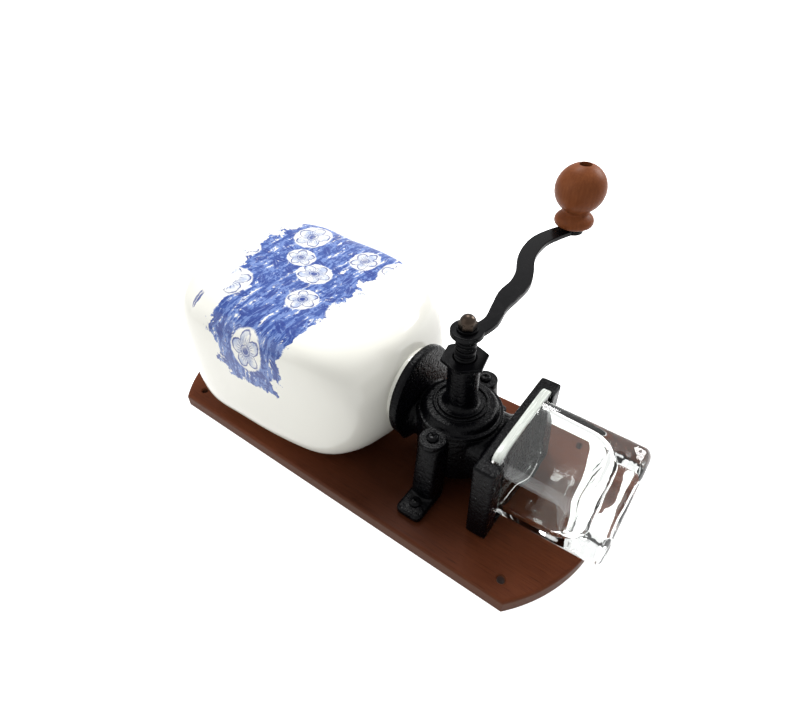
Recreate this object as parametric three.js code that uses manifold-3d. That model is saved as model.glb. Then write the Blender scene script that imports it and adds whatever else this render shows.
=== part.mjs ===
// Wall mounted coffee grinder: a wooden board carries a cast grinder with a porcelain hopper above it,
// a conical burr set turned by a curved crank, and a pressed glass jar that slides into a frame below.
// It is modelled lying on its back, in millimetres: x to the right, y up the board, z out from the wall.
// The origin is on the board's back face, behind the crank axle. The last lines turn the group upright.
import * as THREE from "three";
import { mergeVertices } from "three/addons/utils/BufferGeometryUtils.js";
import Module from "manifold-3d";

const wasm = await Module();
wasm.setup();

// Clearances
const seat = 0.3; // between pieces that rest on each other
const play = 0.35; // around pieces that turn or slide
const overrun = 3; // how far a cutter reaches past the surface

// Facets round a full circle
const fineSides = 28;
const sides = 20;
const smallSides = 10;
const curveSteps = 6;
const sectionPoints = 24;

// Board
const boardWidth = 145.4;
const boardThick = 10.5;
const boardBelow = 75.1; // axle to the lower corners
const boardAbove = 208.3; // axle to the upper corners
const boardRise = 28.3; // height of each end's arch
const boardEdge = 2.2; // rounded front edge
const wallHoleRadius = 2.45;
const wallHoleSide = 12; // hole centre to the board's side
const wallHoleEnd = 7.4; // hole centre to the line through the corners

// Grinder casting
const barrelRadius = 27.7;
const barrelBack = 20.9; // the barrel stands off the board on its two legs
const barrelFloor = 1.6; // iron left behind the burrs and behind the rear bush
const barrelFront = 58.3;
const bossRadius = 13; // boss that holds the rear bush
const bossBack = 11.6;
const boreRadius = 21.8;
const shoulderZ = 27; // step in the bore that stops the ring burr
const exitRadius = 18.6; // chamber behind the burrs
const footScrewX = 50.6;
const footReach = 10; // foot plate past its screw
const footHalfWidth = 9.2;
const footCorner = 4.6;
const footThick = 5.2;
const legX = 32.5; // front of the leg and cover screw, from the axle
const legRadius = 8.3;
const legLean = 4.1; // how far the leg's back stands outward
const legSpread = 1.1;
// Share of the way from the front to the board, and the section's squareness there
const legShares = [
  [0, 2.3],
  [0.35, 3.4],
  [0.8, 4.5],
  [1, 4.5],
];
const castEdge = 1.2;

// Hopper socket on the casting
const socketZ = 59.5;
const socketRadius = 32.4;
const socketTop = 34.6;
const socketBand = 6.3;
const socketWall = 3.6;
const socketFloor = 5; // depth of the cup
const throatRadius = 9;
const throatWidth = 12;

// Chute and jar frame on the casting
const neckHalfWidth = 21.6;
const neckY = -26;
const frameHalfWidth = 45.5;
const frameTop = -34;
const frameHeight = 13.8;
const frameFront = 72.5;
const framePlate = 5.4;
const frameBackWall = 1.9;
const chuteWidth = 24;
const chuteDepth = 8;

// Jar
const jarHalfWidth = 31;
const jarBack = 14.4;
const jarFront = 74.8;
const jarBottom = -112;
const jarWall = 4.4;
const jarFloor = 11;
const jarCorner = 5.5; // squareness of the section
const jarDraft = 0.8;
const lipHalfWidth = 35.2;
const lipThick = 5.4;
const lipFront = 76.6;

// Front cover
const coverThick = 3;
const domeRadius = 24;
const domeHeight = 4.4;
const ringRadius = 18;
const ringHeight = 1.8;
const ringWidth = 1.5;
const hubRadius = 10;
const hubFront = 100;
const hubFillet = 2.6;
const earRadius = 8.6;

// Screws
const screwRadius = 1.9;
const screwHeadRadius = 3.9;
const screwHeadHeight = 2.4;
const coverScrewLength = 13;
const footScrewLength = 11;
const hopperScrewLength = 8;
const slotLength = 4.2;
const slotWidth = 1.1;
const slotDepth = 1.3;
const hopperScrewX = 18.2;

// Spindle, bearings and adjusting nut
const spindleRadius = 6.5;
const burrSeatRadius = 5;
const journalRadius = 3.8;
const bushWall = 1.4;
const squareSide = 8.6;
const studRadius = 2.9;
const studLength = 7;
const washerThick = 1.2;
const thrustWasherRadius = 10;
const nutCircumradius = 14.9;
const nutThick = 2.3;
const nutTurn = -0.826; // first corner of the hexagon, in radians
const nutEdge = 0.5;
const threadShown = 17.2; // nut to crank

// Burrs
const burrTeeth = 24;
const ringBurrLength = 17.6;
const innerWideRadius = 17;
const innerNarrowRadius = 13;
const toothHeight = 1.3;
const burrGap = 0.5;
const augerFlutes = 4;
const augerLength = 5;
const augerRoot = 8.2;
const grindTravel = 1.5; // the spindle's way towards the wall, from the finest setting

// Thrust spring
const springWire = 0.8; // wire radius
const springRadius = 9.4;
const springTurns = 3;

// Crank and knob
const crankReach = 152;
const armThick = 3.6;
const armWidth = 12.4;
const eyeRadius = 10;
const knobEyeRadius = 8.2;
const armEdge = 0.5;
const armBendShares = [
  [0, -0.024],
  [0.1, -0.045],
  [0.2, -0.028],
  [0.3, -0.018],
  [0.4, -0.018],
  [0.49, 0.005],
  [0.6, 0.051],
  [0.7, 0.072],
  [0.8, 0.073],
  [0.9, 0.044],
  [1, 0],
];
const armWidthShares = [0.8, 0.74, 0.8, 1.08, 1.05, 0.96, 0.96, 1, 1.02, 1, 0.9];
const domeNutFlats = 9.6;
const domeNutBase = 3.4;
const knobFlangeRadius = 14.2;
const knobFootHeight = 11.2;
// The knob's foot: share of the flange's radius and of the foot's height
const knobFootShares = [
  [0.79, 0],
  [0.93, 0.08],
  [1, 0.25],
  [1, 0.39],
  [0.937, 0.59],
  [0.796, 0.78],
  [0.676, 0.91],
  [0.64, 1],
];
const knobNeckRadius = 9.5;
const knobBallRadius = 18;
const knobHeight = 45.6;
const knobRecessRadius = 4.4;
const knobRecessDepth = 4;
const knobPinRadius = 2.9;
const pinHeadRadius = 4;
const pinHeadThick = 1;

// Hopper and lid
const hopperPastBoard = 0.3; // the hopper is about as wide as the board
const hopperHalfWidth = boardWidth / 2 + hopperPastBoard;
const hopperHalfDepth = 54.5;
const hopperLean = 7.5; // how far the hopper's middle stands out past its neck
const hopperNeckRadius = 27.6;
const hopperNeckHeight = 7;
const hopperHeight = 173.3; // top of the neck to the mouth
// Share of the height, of the growth in half width and in half depth and of the lean, then the squareness
const hopperShares = [
  [0, 0, 0, 0, 2],
  [0.028, 0.427, 0.405, 0.2, 2],
  [0.094, 0.648, 0.628, 0.307, 3.9],
  [0.215, 0.802, 0.777, 0.467, 7],
  [0.383, 0.901, 0.851, 0.6, 7],
  [0.585, 0.978, 0.907, 0.667, 5.5],
  [0.769, 1, 0.981, 0.867, 4.8],
  [0.902, 0.769, 1, 1, 3],
  [1, 0.427, 0.312, 0.333, 2],
];
const hopperWall = 4.6;
const hopperFloor = 4.4;
const hopperHoleRadius = 13;
const gasketThick = 1.5;
const sealThick = 1.4;
const sealWidth = 3.4;
const lidWall = 3.6;
const lidSkirt = 5;
const lidRise = 8;

// Places that follow from the sizes above
const boardFace = boardThick + seat;
const coverBack = barrelFront + seat;
const coverFace = coverBack + coverThick;
const thrustWasherZ = hubFront + seat;
const nutZ = thrustWasherZ + washerThick + seat;
const crankZ = nutZ + nutThick + threadShown;
const crankFace = crankZ + armThick;
const ringBurrFront = shoulderZ + seat + ringBurrLength;
const innerBack = shoulderZ + seat;
const augerFront = ringBurrFront + augerLength;
const exitBack = barrelBack + barrelFloor;
const journalBack = bossBack + barrelFloor + seat;
const spindleBack = journalBack + grindTravel + seat;
const bushRadius = spindleRadius + play + bushWall;
const frameBottom = frameTop - frameHeight;
const lipTop = frameTop - framePlate - seat - play;
const lipBottom = lipTop - lipThick;
const grooveBottom = lipBottom - seat;
const railInner = jarHalfWidth + 2 * play + seat;
const throatZ = barrelFront - socketWall - throatRadius;
const cupFloor = socketTop - socketFloor;
const hopperBase = cupFloor + seat + gasketThick + seat;
const hopperNeckTop = hopperBase + hopperNeckHeight;
const hopperMouth = hopperNeckTop + hopperHeight;
const lidBase = hopperMouth + seat + sealThick + seat;

// Solids and meshes

// A closed geometry as a solid, turned inside out where its faces point inwards.
function solid(geometry) {
  const bare = geometry.index ? geometry.toNonIndexed() : geometry.clone();
  bare.deleteAttribute("normal");
  bare.deleteAttribute("uv");
  const merged = mergeVertices(bare, 1e-4);
  const { array } = merged.attributes.position;
  const corners = [...merged.index.array];
  const kept = [];
  let volume = 0;
  for (let i = 0; i < corners.length; i += 3) {
    const [a, b, c] = corners.slice(i, i + 3);
    if (a === b || b === c || c === a) continue;
    kept.push(a, b, c);
    const [p, q, r] = [a, b, c].map((k) => new THREE.Vector3().fromArray(array, 3 * k));
    volume += p.dot(q.cross(r));
  }
  if (volume < 0) kept.reverse();
  const triVerts = new Uint32Array(kept);
  return new wasm.Manifold(new wasm.Mesh({ numProp: 3, vertProperties: array, triVerts }));
}

// A solid as a flat shaded geometry.
function geometryOf(body) {
  const mesh = body.getMesh();
  const indexed = new THREE.BufferGeometry();
  indexed.setAttribute("position", new THREE.BufferAttribute(mesh.vertProperties, 3));
  indexed.setIndex(new THREE.BufferAttribute(mesh.triVerts, 1));
  const flat = indexed.toNonIndexed();
  flat.computeVertexNormals();
  return flat;
}

function joined(first, ...others) {
  return others.reduce((body, other) => body.add(other), first);
}

function cut(body, ...cutters) {
  return cutters.reduce((left, cutter) => left.subtract(cutter), body);
}

// A revolve about the z axis. Each profile point is [radius, z].
function turned(profile, count = sides) {
  const points = profile.map(([radius, z]) => new THREE.Vector2(radius, z));
  return solid(new THREE.LatheGeometry(points, count).rotateX(Math.PI / 2));
}

function rod(radius, back, front, count = sides) {
  return turned([[0, back], [radius, back], [radius, front], [0, front]], count);
}

// A rod with a chamfer at its front end.
function pin(radius, back, front, chamfer, count = sides) {
  const tip = radius - chamfer;
  return turned([[0, back], [radius, back], [radius, front - chamfer], [tip, front], [0, front]], count);
}

function sleeve(inner, outer, back, front, count = sides) {
  return turned([[inner, back], [outer, back], [outer, front], [inner, front], [inner, back]], count);
}

// An outline in x and y, extruded in z, with an optional rounded or chamfered edge.
function slab(shape, back, front, edge = 0, segments = 1) {
  const geometry = new THREE.ExtrudeGeometry(shape, {
    depth: front - back - 2 * edge,
    bevelEnabled: edge > 0,
    bevelThickness: edge,
    bevelSize: edge,
    bevelOffset: -edge,
    bevelSegments: segments,
    curveSegments: curveSteps,
    steps: 1,
  });
  return solid(geometry.translate(0, 0, back + edge));
}

function block(left, right, low, high, back, front) {
  const box = new THREE.BoxGeometry(right - left, high - low, front - back);
  return solid(box.translate((left + right) / 2, (low + high) / 2, (back + front) / 2));
}

function circle(radius, x = 0, y = 0) {
  return new THREE.Shape().absarc(x, y, radius, 0, 2 * Math.PI, false);
}

function polygon(radius, corners, turn = 0) {
  const points = [];
  for (let i = 0; i < corners; i++) {
    const angle = turn + (2 * Math.PI * i) / corners;
    points.push(new THREE.Vector2(radius * Math.cos(angle), radius * Math.sin(angle)));
  }
  return new THREE.Shape(points);
}

// A closed body through rings of points with equal counts, capped at both ends.
function loft(rings) {
  const count = rings[0].length;
  const points = rings.flat();
  const index = [];
  for (let k = 0; k + 1 < rings.length; k++)
    for (let i = 0; i < count; i++) {
      const a = k * count + i;
      const b = k * count + ((i + 1) % count);
      index.push(a, b, b + count, a, b + count, a + count);
    }
  for (const [start, flip] of [[0, true], [(rings.length - 1) * count, false]]) {
    const middle = points.length;
    const ring = points.slice(start, start + count);
    points.push(ring.reduce((sum, p) => sum.add(p), new THREE.Vector3()).divideScalar(count));
    for (let i = 0; i < count; i++) {
      const pair = [start + i, start + ((i + 1) % count)];
      if (flip) pair.reverse();
      index.push(...pair, middle);
    }
  }
  return solid(new THREE.BufferGeometry().setFromPoints(points).setIndex(index));
}

// A rounded ring at height y. The exponent runs from 2, an ellipse, towards a rectangle.
function section(y, halfX, halfZ, centreZ, exponent, count = sectionPoints) {
  const ring = [];
  const bend = (v) => Math.sign(v) * Math.abs(v) ** (2 / exponent);
  for (let i = 0; i < count; i++) {
    const angle = (2 * Math.PI * (i + 0.5)) / count;
    const x = halfX * bend(Math.cos(angle));
    ring.push(new THREE.Vector3(x, y, centreZ + halfZ * bend(Math.sin(angle))));
  }
  return ring;
}

// A saw toothed ring at depth z, turned by an angle.
function toothed(z, root, tip, teeth, turn) {
  const toothShares = [[0, 0], [0.4, 0.6], [0.8, 1]];
  const ring = [];
  for (let tooth = 0; tooth < teeth; tooth++)
    for (const [along, out] of toothShares) {
      const angle = turn + (2 * Math.PI * (tooth + along)) / teeth;
      const radius = root + (tip - root) * out;
      ring.push(new THREE.Vector3(radius * Math.cos(angle), radius * Math.sin(angle), z));
    }
  return ring;
}

// Materials

const finishes = {
  wood: { color: 0x6a3a20, roughness: 0.42, metalness: 0 },
  knobWood: { color: 0x70462a, roughness: 0.35, metalness: 0 },
  castIron: { color: 0x17181a, roughness: 0.5, metalness: 0.2 },
  blackSteel: { color: 0x1d1d1f, roughness: 0.4, metalness: 0.7 },
  steel: { color: 0x8d8f93, roughness: 0.35, metalness: 1 },
  bronze: { color: 0x8a6a45, roughness: 0.35, metalness: 1 },
  porcelain: { color: 0xf4f3ee, roughness: 0.12, metalness: 0 },
  rubber: { color: 0x2a2a2a, roughness: 0.8, metalness: 0 },
  glass: { color: 0xdfe9e4, roughness: 0.05, metalness: 0, transparent: true, opacity: 0.35 },
};

const grinder = new THREE.Group();

function add(name, body, finish, x = 0, y = 0, z = 0) {
  const mesh = new THREE.Mesh(geometryOf(body), new THREE.MeshStandardMaterial(finishes[finish]));
  mesh.name = name;
  mesh.position.set(x, y, z);
  grinder.add(mesh);
  return mesh;
}

// Fasteners

// A cross recessed screw whose head rests on z = 0, with its shank going into the wall side.
function crossScrew(length) {
  const rim = screwHeadRadius;
  const head = turned(
    [
      [0, 0],
      [rim, 0],
      [rim, screwHeadHeight * 0.5],
      [rim * 0.7, screwHeadHeight],
      [0, screwHeadHeight],
    ],
    smallSides,
  );
  const tip = screwRadius * 0.4;
  const shank = turned(
    [[0, -length], [tip, -length], [screwRadius, screwRadius - length], [screwRadius, 0], [0, 0]],
    smallSides,
  );
  const [half, thin] = [slotLength / 2, slotWidth / 2];
  const floor = screwHeadHeight - slotDepth;
  const across = block(-half, half, -thin, thin, floor, screwHeadHeight + overrun);
  const along = block(-thin, thin, -half, half, floor, screwHeadHeight + overrun);
  return cut(head.add(shank), across, along);
}

const sidesOfAxle = [["left", -1], ["right", 1]];
const screwHole = screwRadius + seat;

// Board

// The board's outline is a rectangle with an arch at each end.
function boardShape() {
  const half = boardWidth / 2;
  const radius = (half ** 2 + boardRise ** 2) / (2 * boardRise);
  const spread = Math.asin(half / radius);
  const [up, down] = [Math.PI / 2, -Math.PI / 2];
  const shape = new THREE.Shape().moveTo(half, -boardBelow).lineTo(half, boardAbove);
  shape.absarc(0, boardAbove + boardRise - radius, radius, up - spread, up + spread, false);
  shape.lineTo(-half, -boardBelow);
  shape.absarc(0, radius - boardBelow - boardRise, radius, down - spread, down + spread, false);
  return shape;
}

function buildBoard() {
  const rounded = slab(boardShape(), -boardEdge, boardThick, boardEdge, 2);
  const wallSide = block(-boardWidth, boardWidth, -2 * boardAbove, 2 * boardAbove, -boardThick, 0);
  const holes = [];
  for (const x of [wallHoleSide - boardWidth / 2, boardWidth / 2 - wallHoleSide])
    for (const y of [wallHoleEnd - boardBelow, boardAbove - wallHoleEnd])
      holes.push(rod(wallHoleRadius, -overrun, boardThick + overrun, smallSides).translate([x, y, 0]));
  for (const [, side] of sidesOfAxle) {
    const depth = footThick + boardFace - footScrewLength - screwRadius;
    holes.push(rod(screwHole, depth, boardThick + overrun, smallSides).translate([side * footScrewX, 0, 0]));
  }
  add("backboard", cut(rounded, wallSide, ...holes), "wood");
}

// Casting

// A ring like a section, lying flat at depth z.
function outlineAt(z, centreX, halfX, halfY, exponent) {
  const ring = section(0, halfX, halfY, 0, exponent, sides);
  return ring.map((p) => new THREE.Vector3(centreX + p.x, p.z, z));
}

// The leg gets squarer and leans outward on its way to the board, where it stands on its foot plate.
function leg(side) {
  const column = loft(
    legShares.map(([share, exponent]) => {
      const z = barrelFront + (boardFace - barrelFront) * share;
      const centreX = side * (legX + legLean * share);
      return outlineAt(z, centreX, legRadius + legSpread * share, legRadius, exponent);
    }),
  );
  const [near, far] = [side * legX, side * (footScrewX + footReach)];
  const outline = new THREE.Shape();
  outline.moveTo(near, -footHalfWidth);
  outline.lineTo(far - side * footCorner, -footHalfWidth);
  outline.quadraticCurveTo(far, -footHalfWidth, far, footCorner - footHalfWidth);
  outline.lineTo(far, footHalfWidth - footCorner);
  outline.quadraticCurveTo(far, footHalfWidth, far - side * footCorner, footHalfWidth);
  outline.lineTo(near, footHalfWidth);
  return column.add(slab(outline, boardFace, boardFace + footThick, castEdge));
}

function barrel() {
  const edge = castEdge;
  return turned(
    [
      [0, bossBack],
      [bossRadius - edge, bossBack],
      [bossRadius, bossBack + edge],
      [bossRadius, barrelBack],
      [barrelRadius - 2 * edge, barrelBack],
      [barrelRadius, barrelBack + 2 * edge],
      [barrelRadius, barrelFront],
      [0, barrelFront],
    ],
    fineSides,
  );
}

// The cup that the hopper stands in. Its front overhangs the cover, so its stem rises behind the cover.
function socket() {
  const under = socketTop - socketBand;
  const edge = castEdge;
  const rim = [
    [under, socketRadius - edge],
    [under + edge, socketRadius],
    [socketTop - edge, socketRadius],
    [socketTop, socketRadius - edge],
  ];
  const disc = loft(rim.map(([y, radius]) => section(y, radius, radius, socketZ, 2)));
  const stemRings = [];
  for (let i = 0; i <= 4; i++) {
    const flare = 1 - Math.cos((Math.PI / 2) * (i / 4));
    const y = under * (0.4 + 0.6 * Math.sin((Math.PI / 2) * (i / 4))) + (i === 4 ? edge : 0);
    const halfX = throatWidth + socketWall + (socketRadius - throatWidth - socketWall) * 0.7 * flare;
    const halfZ = throatRadius + socketWall * (1 + flare);
    stemRings.push(section(y, halfX, halfZ, barrelFront - halfZ, 2.6));
  }
  return joined(disc, loft([section(0, throatWidth, throatRadius, throatZ, 2.6), ...stemRings]));
}

function throat() {
  const cup = socketRadius - socketWall;
  const mouth = hopperHoleRadius;
  const funnel = loft([
    section(boreRadius * 0.5, throatWidth, throatRadius, throatZ, 2.6),
    section(boreRadius, throatWidth, throatRadius, throatZ, 2.6),
    section(cupFloor, mouth, mouth, socketZ - castEdge, 2),
    section(cupFloor + castEdge, mouth, mouth, socketZ - castEdge, 2),
  ]);
  return funnel.add(loft([cupFloor, socketTop + overrun].map((y) => section(y, cup, cup, socketZ, 2))));
}

// The neck narrows below the barrel and spreads into the frame's top plate.
function neck() {
  const frameBack = boardFace + frameBackWall;
  const rings = [];
  const place = (y, half, back, front) => {
    const depth = (front - back) / 2;
    rings.push(section(y, half, depth, back + depth, 5));
  };
  const neckFront = barrelFront - castEdge;
  place(0, neckHalfWidth, barrelBack, neckFront);
  place(neckY * 0.6, neckHalfWidth, barrelBack, neckFront);
  const flareHeight = neckY - frameTop;
  const flareWidth = (frameHalfWidth - neckHalfWidth) * 0.8;
  const flareFront = (frameFront - barrelFront) * 0.8;
  for (let i = 0; i <= 5; i++) {
    const angle = (Math.PI / 2) * (i / 5);
    const out = 1 - Math.cos(angle);
    const y = neckY - flareHeight * Math.sin(angle);
    const back = barrelBack + (frameBack - barrelBack) * out;
    place(y, neckHalfWidth + flareWidth * out, back, neckFront + flareFront * out);
  }
  place(frameTop - framePlate / 2, neckHalfWidth + flareWidth, frameBack, barrelFront + flareFront);
  return loft(rings);
}

// A channel under a plate: the jar's lip slides along a groove in each side.
function jarFrame() {
  const corner = 2 * castEdge;
  const outline = new THREE.Shape();
  outline.moveTo(-frameHalfWidth + corner, frameBottom);
  outline.lineTo(frameHalfWidth - corner, frameBottom);
  outline.quadraticCurveTo(frameHalfWidth, frameBottom, frameHalfWidth, frameBottom + corner);
  outline.lineTo(frameHalfWidth, frameTop - corner);
  outline.quadraticCurveTo(frameHalfWidth, frameTop, frameHalfWidth - corner, frameTop);
  outline.lineTo(corner - frameHalfWidth, frameTop);
  outline.quadraticCurveTo(-frameHalfWidth, frameTop, -frameHalfWidth, frameTop - corner);
  outline.lineTo(-frameHalfWidth, frameBottom + corner);
  outline.quadraticCurveTo(-frameHalfWidth, frameBottom, corner - frameHalfWidth, frameBottom);
  return slab(outline, boardFace, frameFront, castEdge / 2);
}

function jarBay() {
  const back = boardFace + frameBackWall;
  const front = frameFront + overrun;
  const plateUnder = frameTop - framePlate;
  const opening = block(-railInner, railInner, frameBottom - overrun, plateUnder, back, front);
  const groove = lipHalfWidth + play;
  return opening.add(block(-groove, groove, grooveBottom, plateUnder, back, front));
}

function chute() {
  const half = chuteWidth / 2;
  const rings = [];
  for (const y of [0, frameTop - framePlate - overrun])
    rings.push(section(y, half, chuteDepth / 2, exitBack + chuteDepth / 2, 6));
  return loft(rings);
}

function buildCasting() {
  const body = joined(barrel(), leg(-1), leg(1), socket(), neck(), jarFrame());
  const bore = turned([
    [0, exitBack],
    [exitRadius, exitBack],
    [exitRadius, shoulderZ],
    [boreRadius, shoulderZ],
    [boreRadius, barrelFront + overrun],
    [0, barrelFront + overrun],
  ]);
  const rearBushHole = rod(journalRadius + play + bushWall + seat, journalBack - seat, exitBack + overrun);
  const holes = [];
  for (const [, side] of sidesOfAxle) {
    const coverScrewEnd = coverFace - coverScrewLength - screwRadius;
    const coverHole = rod(screwHole, coverScrewEnd, barrelFront + overrun, smallSides);
    const footHole = rod(screwHole, 0, boardFace + footThick + overrun, smallSides);
    const hopperScrewEnd = hopperBase + hopperFloor - hopperScrewLength - screwRadius;
    const cupHole = rod(screwHole, hopperScrewEnd, socketTop, smallSides).rotate([-90, 0, 0]);
    holes.push(coverHole.translate([side * legX, 0, 0]));
    holes.push(footHole.translate([side * footScrewX, 0, 0]));
    holes.push(cupHole.translate([side * hopperScrewX, 0, socketZ]));
  }
  add("grinder_body", cut(body, bore, rearBushHole, throat(), chute(), jarBay(), ...holes), "castIron");
  for (const [name, side] of sidesOfAxle)
    add("foot_screw_" + name, crossScrew(footScrewLength), "blackSteel", side * footScrewX, 0,
      boardFace + footThick + seat);
}

// Front cover

function buildCover() {
  const hole = bushRadius + seat;
  const domeTop = coverFace + domeHeight;
  const ringTop = domeTop + ringHeight;
  const profile = [
    [hole, coverBack],
    [barrelRadius, coverBack],
    [barrelRadius, coverFace],
    [domeRadius + castEdge, coverFace],
    [domeRadius, coverFace + castEdge],
    [domeRadius - castEdge / 2, domeTop - castEdge],
    [domeRadius - 2 * castEdge, domeTop],
    [ringRadius, domeTop],
    [ringRadius, ringTop],
    [ringRadius - ringWidth, ringTop],
    [ringRadius - ringWidth, domeTop],
    [ringRadius - 2 * ringWidth, domeTop],
    [ringRadius - 2 * ringWidth, ringTop],
    [hubRadius + hubFillet, ringTop],
    [hubRadius + hubFillet * 0.3, ringTop + hubFillet * 0.3],
    [hubRadius, ringTop + hubFillet],
    [hubRadius, hubFront - castEdge],
    [hubRadius - castEdge / 2, hubFront],
    [hole, hubFront],
    [hole, coverBack],
  ];
  let cover = turned(profile, fineSides);
  const holes = [];
  for (const [, side] of sidesOfAxle) {
    const ear = slab(circle(earRadius, side * legX), coverBack, coverFace, castEdge / 2);
    cover = cover.add(cut(ear, rod(domeRadius, coverBack - overrun, coverFace + overrun)));
    const hole = rod(screwHole, coverBack - overrun, coverFace + overrun, smallSides);
    holes.push(hole.translate([side * legX, 0, 0]));
  }
  add("front_cover", cut(cover, ...holes), "castIron");
  for (const [name, side] of sidesOfAxle)
    add("cover_screw_" + name, crossScrew(coverScrewLength), "blackSteel", side * legX, 0, coverFace + seat);
}

// Spindle, bearings and adjusting nut

function buildSpindle() {
  const squareBack = crankZ - seat;
  const squareFront = crankFace - seat;
  const shaft = turned([
    [0, spindleBack],
    [journalRadius, spindleBack],
    [journalRadius, innerBack - grindTravel],
    [burrSeatRadius, innerBack - grindTravel],
    [burrSeatRadius, augerFront + seat],
    [spindleRadius, augerFront + seat],
    [spindleRadius, squareBack - castEdge / 2],
    [spindleRadius - castEdge / 2, squareBack],
    [0, squareBack],
  ]);
  const square = slab(polygon(squareSide / Math.SQRT2, 4, Math.PI / 4), squareBack - castEdge, squareFront);
  const stud = pin(studRadius, squareFront - castEdge, crankFace + studLength, castEdge / 2, smallSides);
  add("spindle", joined(shaft, square, stud), "blackSteel");

  const inner = spindleRadius + play;
  add("cover_bush", sleeve(inner, bushRadius, coverBack, hubFront - castEdge / 2), "bronze");
  const rearInner = journalRadius + play;
  add("rear_bush", sleeve(rearInner, rearInner + bushWall, journalBack, exitBack), "bronze");
  const washerFront = thrustWasherZ + washerThick;
  add("thrust_washer", sleeve(inner, thrustWasherRadius, thrustWasherZ, washerFront), "bronze");

  const hexagon = slab(polygon(nutCircumradius, 6, nutTurn), nutZ, nutZ + nutThick);
  const rounded = turned([
    [0, nutZ],
    [nutCircumradius, nutZ],
    [nutCircumradius, nutZ + nutThick - nutEdge],
    [nutCircumradius - 2 * nutEdge, nutZ + nutThick],
    [0, nutZ + nutThick],
  ]);
  const nutHole = rod(inner, nutZ - overrun, nutZ + nutThick + overrun);
  add("adjusting_nut", cut(hexagon.intersect(rounded), nutHole), "blackSteel");
}

// Burrs and thrust spring

// The inner burr widens towards the wall, so drawing the spindle out closes the grinding gap.
function buildBurrs() {
  const steps = 3;
  const twist = Math.PI / burrTeeth;
  const innerRings = [];
  const outerRings = [];
  const reach = ringBurrFront - innerBack;
  for (let i = 0; i <= steps; i++) {
    const share = i / steps;
    const z = innerBack + reach * share;
    const tip = innerWideRadius + (innerNarrowRadius - innerWideRadius) * share;
    innerRings.push(toothed(z, tip - toothHeight, tip, burrTeeth, twist * i));
    const bore = tip + burrGap;
    const past = (i === steps ? 1 : 0) * overrun - (i === 0 ? 1 : 0) * overrun;
    outerRings.push(toothed(z + past, bore + toothHeight, bore, burrTeeth, -twist * i));
  }
  const auger = [];
  for (let i = 0; i <= 4; i++) {
    const z = ringBurrFront - castEdge + (augerFront - ringBurrFront + castEdge) * (i / 4);
    auger.push(toothed(z, augerRoot, innerNarrowRadius - toothHeight, augerFlutes, twist * i * 2));
  }
  const seatHole = rod(burrSeatRadius + play, innerBack - overrun, augerFront + overrun, smallSides);
  add("inner_burr", cut(loft(innerRings).add(loft(auger)), seatHole), "steel");
  const blank = rod(boreRadius - seat, shoulderZ + seat, ringBurrFront, fineSides);
  add("ring_burr", cut(blank, loft(outerRings)), "steel");

  const washerBack = augerFront + 2 * seat;
  const washerOuter = springRadius + 2 * springWire;
  const washerFront = washerBack + washerThick;
  add("spring_washer", sleeve(spindleRadius + play, washerOuter, washerBack, washerFront), "steel");
  const springBack = washerFront + seat + springWire;
  const springFront = coverBack - seat - springWire;
  const path = [];
  const stepsPerTurn = 10;
  for (let i = 0; i <= springTurns * stepsPerTurn; i++) {
    const angle = (2 * Math.PI * i) / stepsPerTurn;
    const z = springBack + ((springFront - springBack) * i) / (springTurns * stepsPerTurn);
    path.push(new THREE.Vector3(springRadius * Math.cos(angle), springRadius * Math.sin(angle), z));
  }
  const wire = new THREE.ExtrudeGeometry(polygon(springWire, 5), {
    steps: springTurns * stepsPerTurn,
    extrudePath: new THREE.CatmullRomCurve3(path),
    bevelEnabled: false,
  });
  add("thrust_spring", solid(wire), "steel");
}

// Crank and knob

// The arm follows a shallow S, a little wider in its middle.
function armShape() {
  const bend = armBendShares.map(([x, y]) => new THREE.Vector2(x * crankReach, y * crankReach));
  const line = new THREE.SplineCurve(bend);
  const widths = new THREE.SplineCurve(armWidthShares.map((w, i) => new THREE.Vector2(i, w)));
  const upper = [];
  const lower = [];
  const steps = 17;
  for (let i = 0; i <= steps; i++) {
    const t = i / steps;
    const along = line.getTangent(t);
    const across = new THREE.Vector2(-along.y, along.x);
    const half = (armWidth / 2) * widths.getPoint(t).y;
    upper.push(line.getPoint(t).addScaledVector(across, half));
    lower.unshift(line.getPoint(t).addScaledVector(across, -half));
  }
  return new THREE.Shape([...upper, ...lower]);
}

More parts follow.
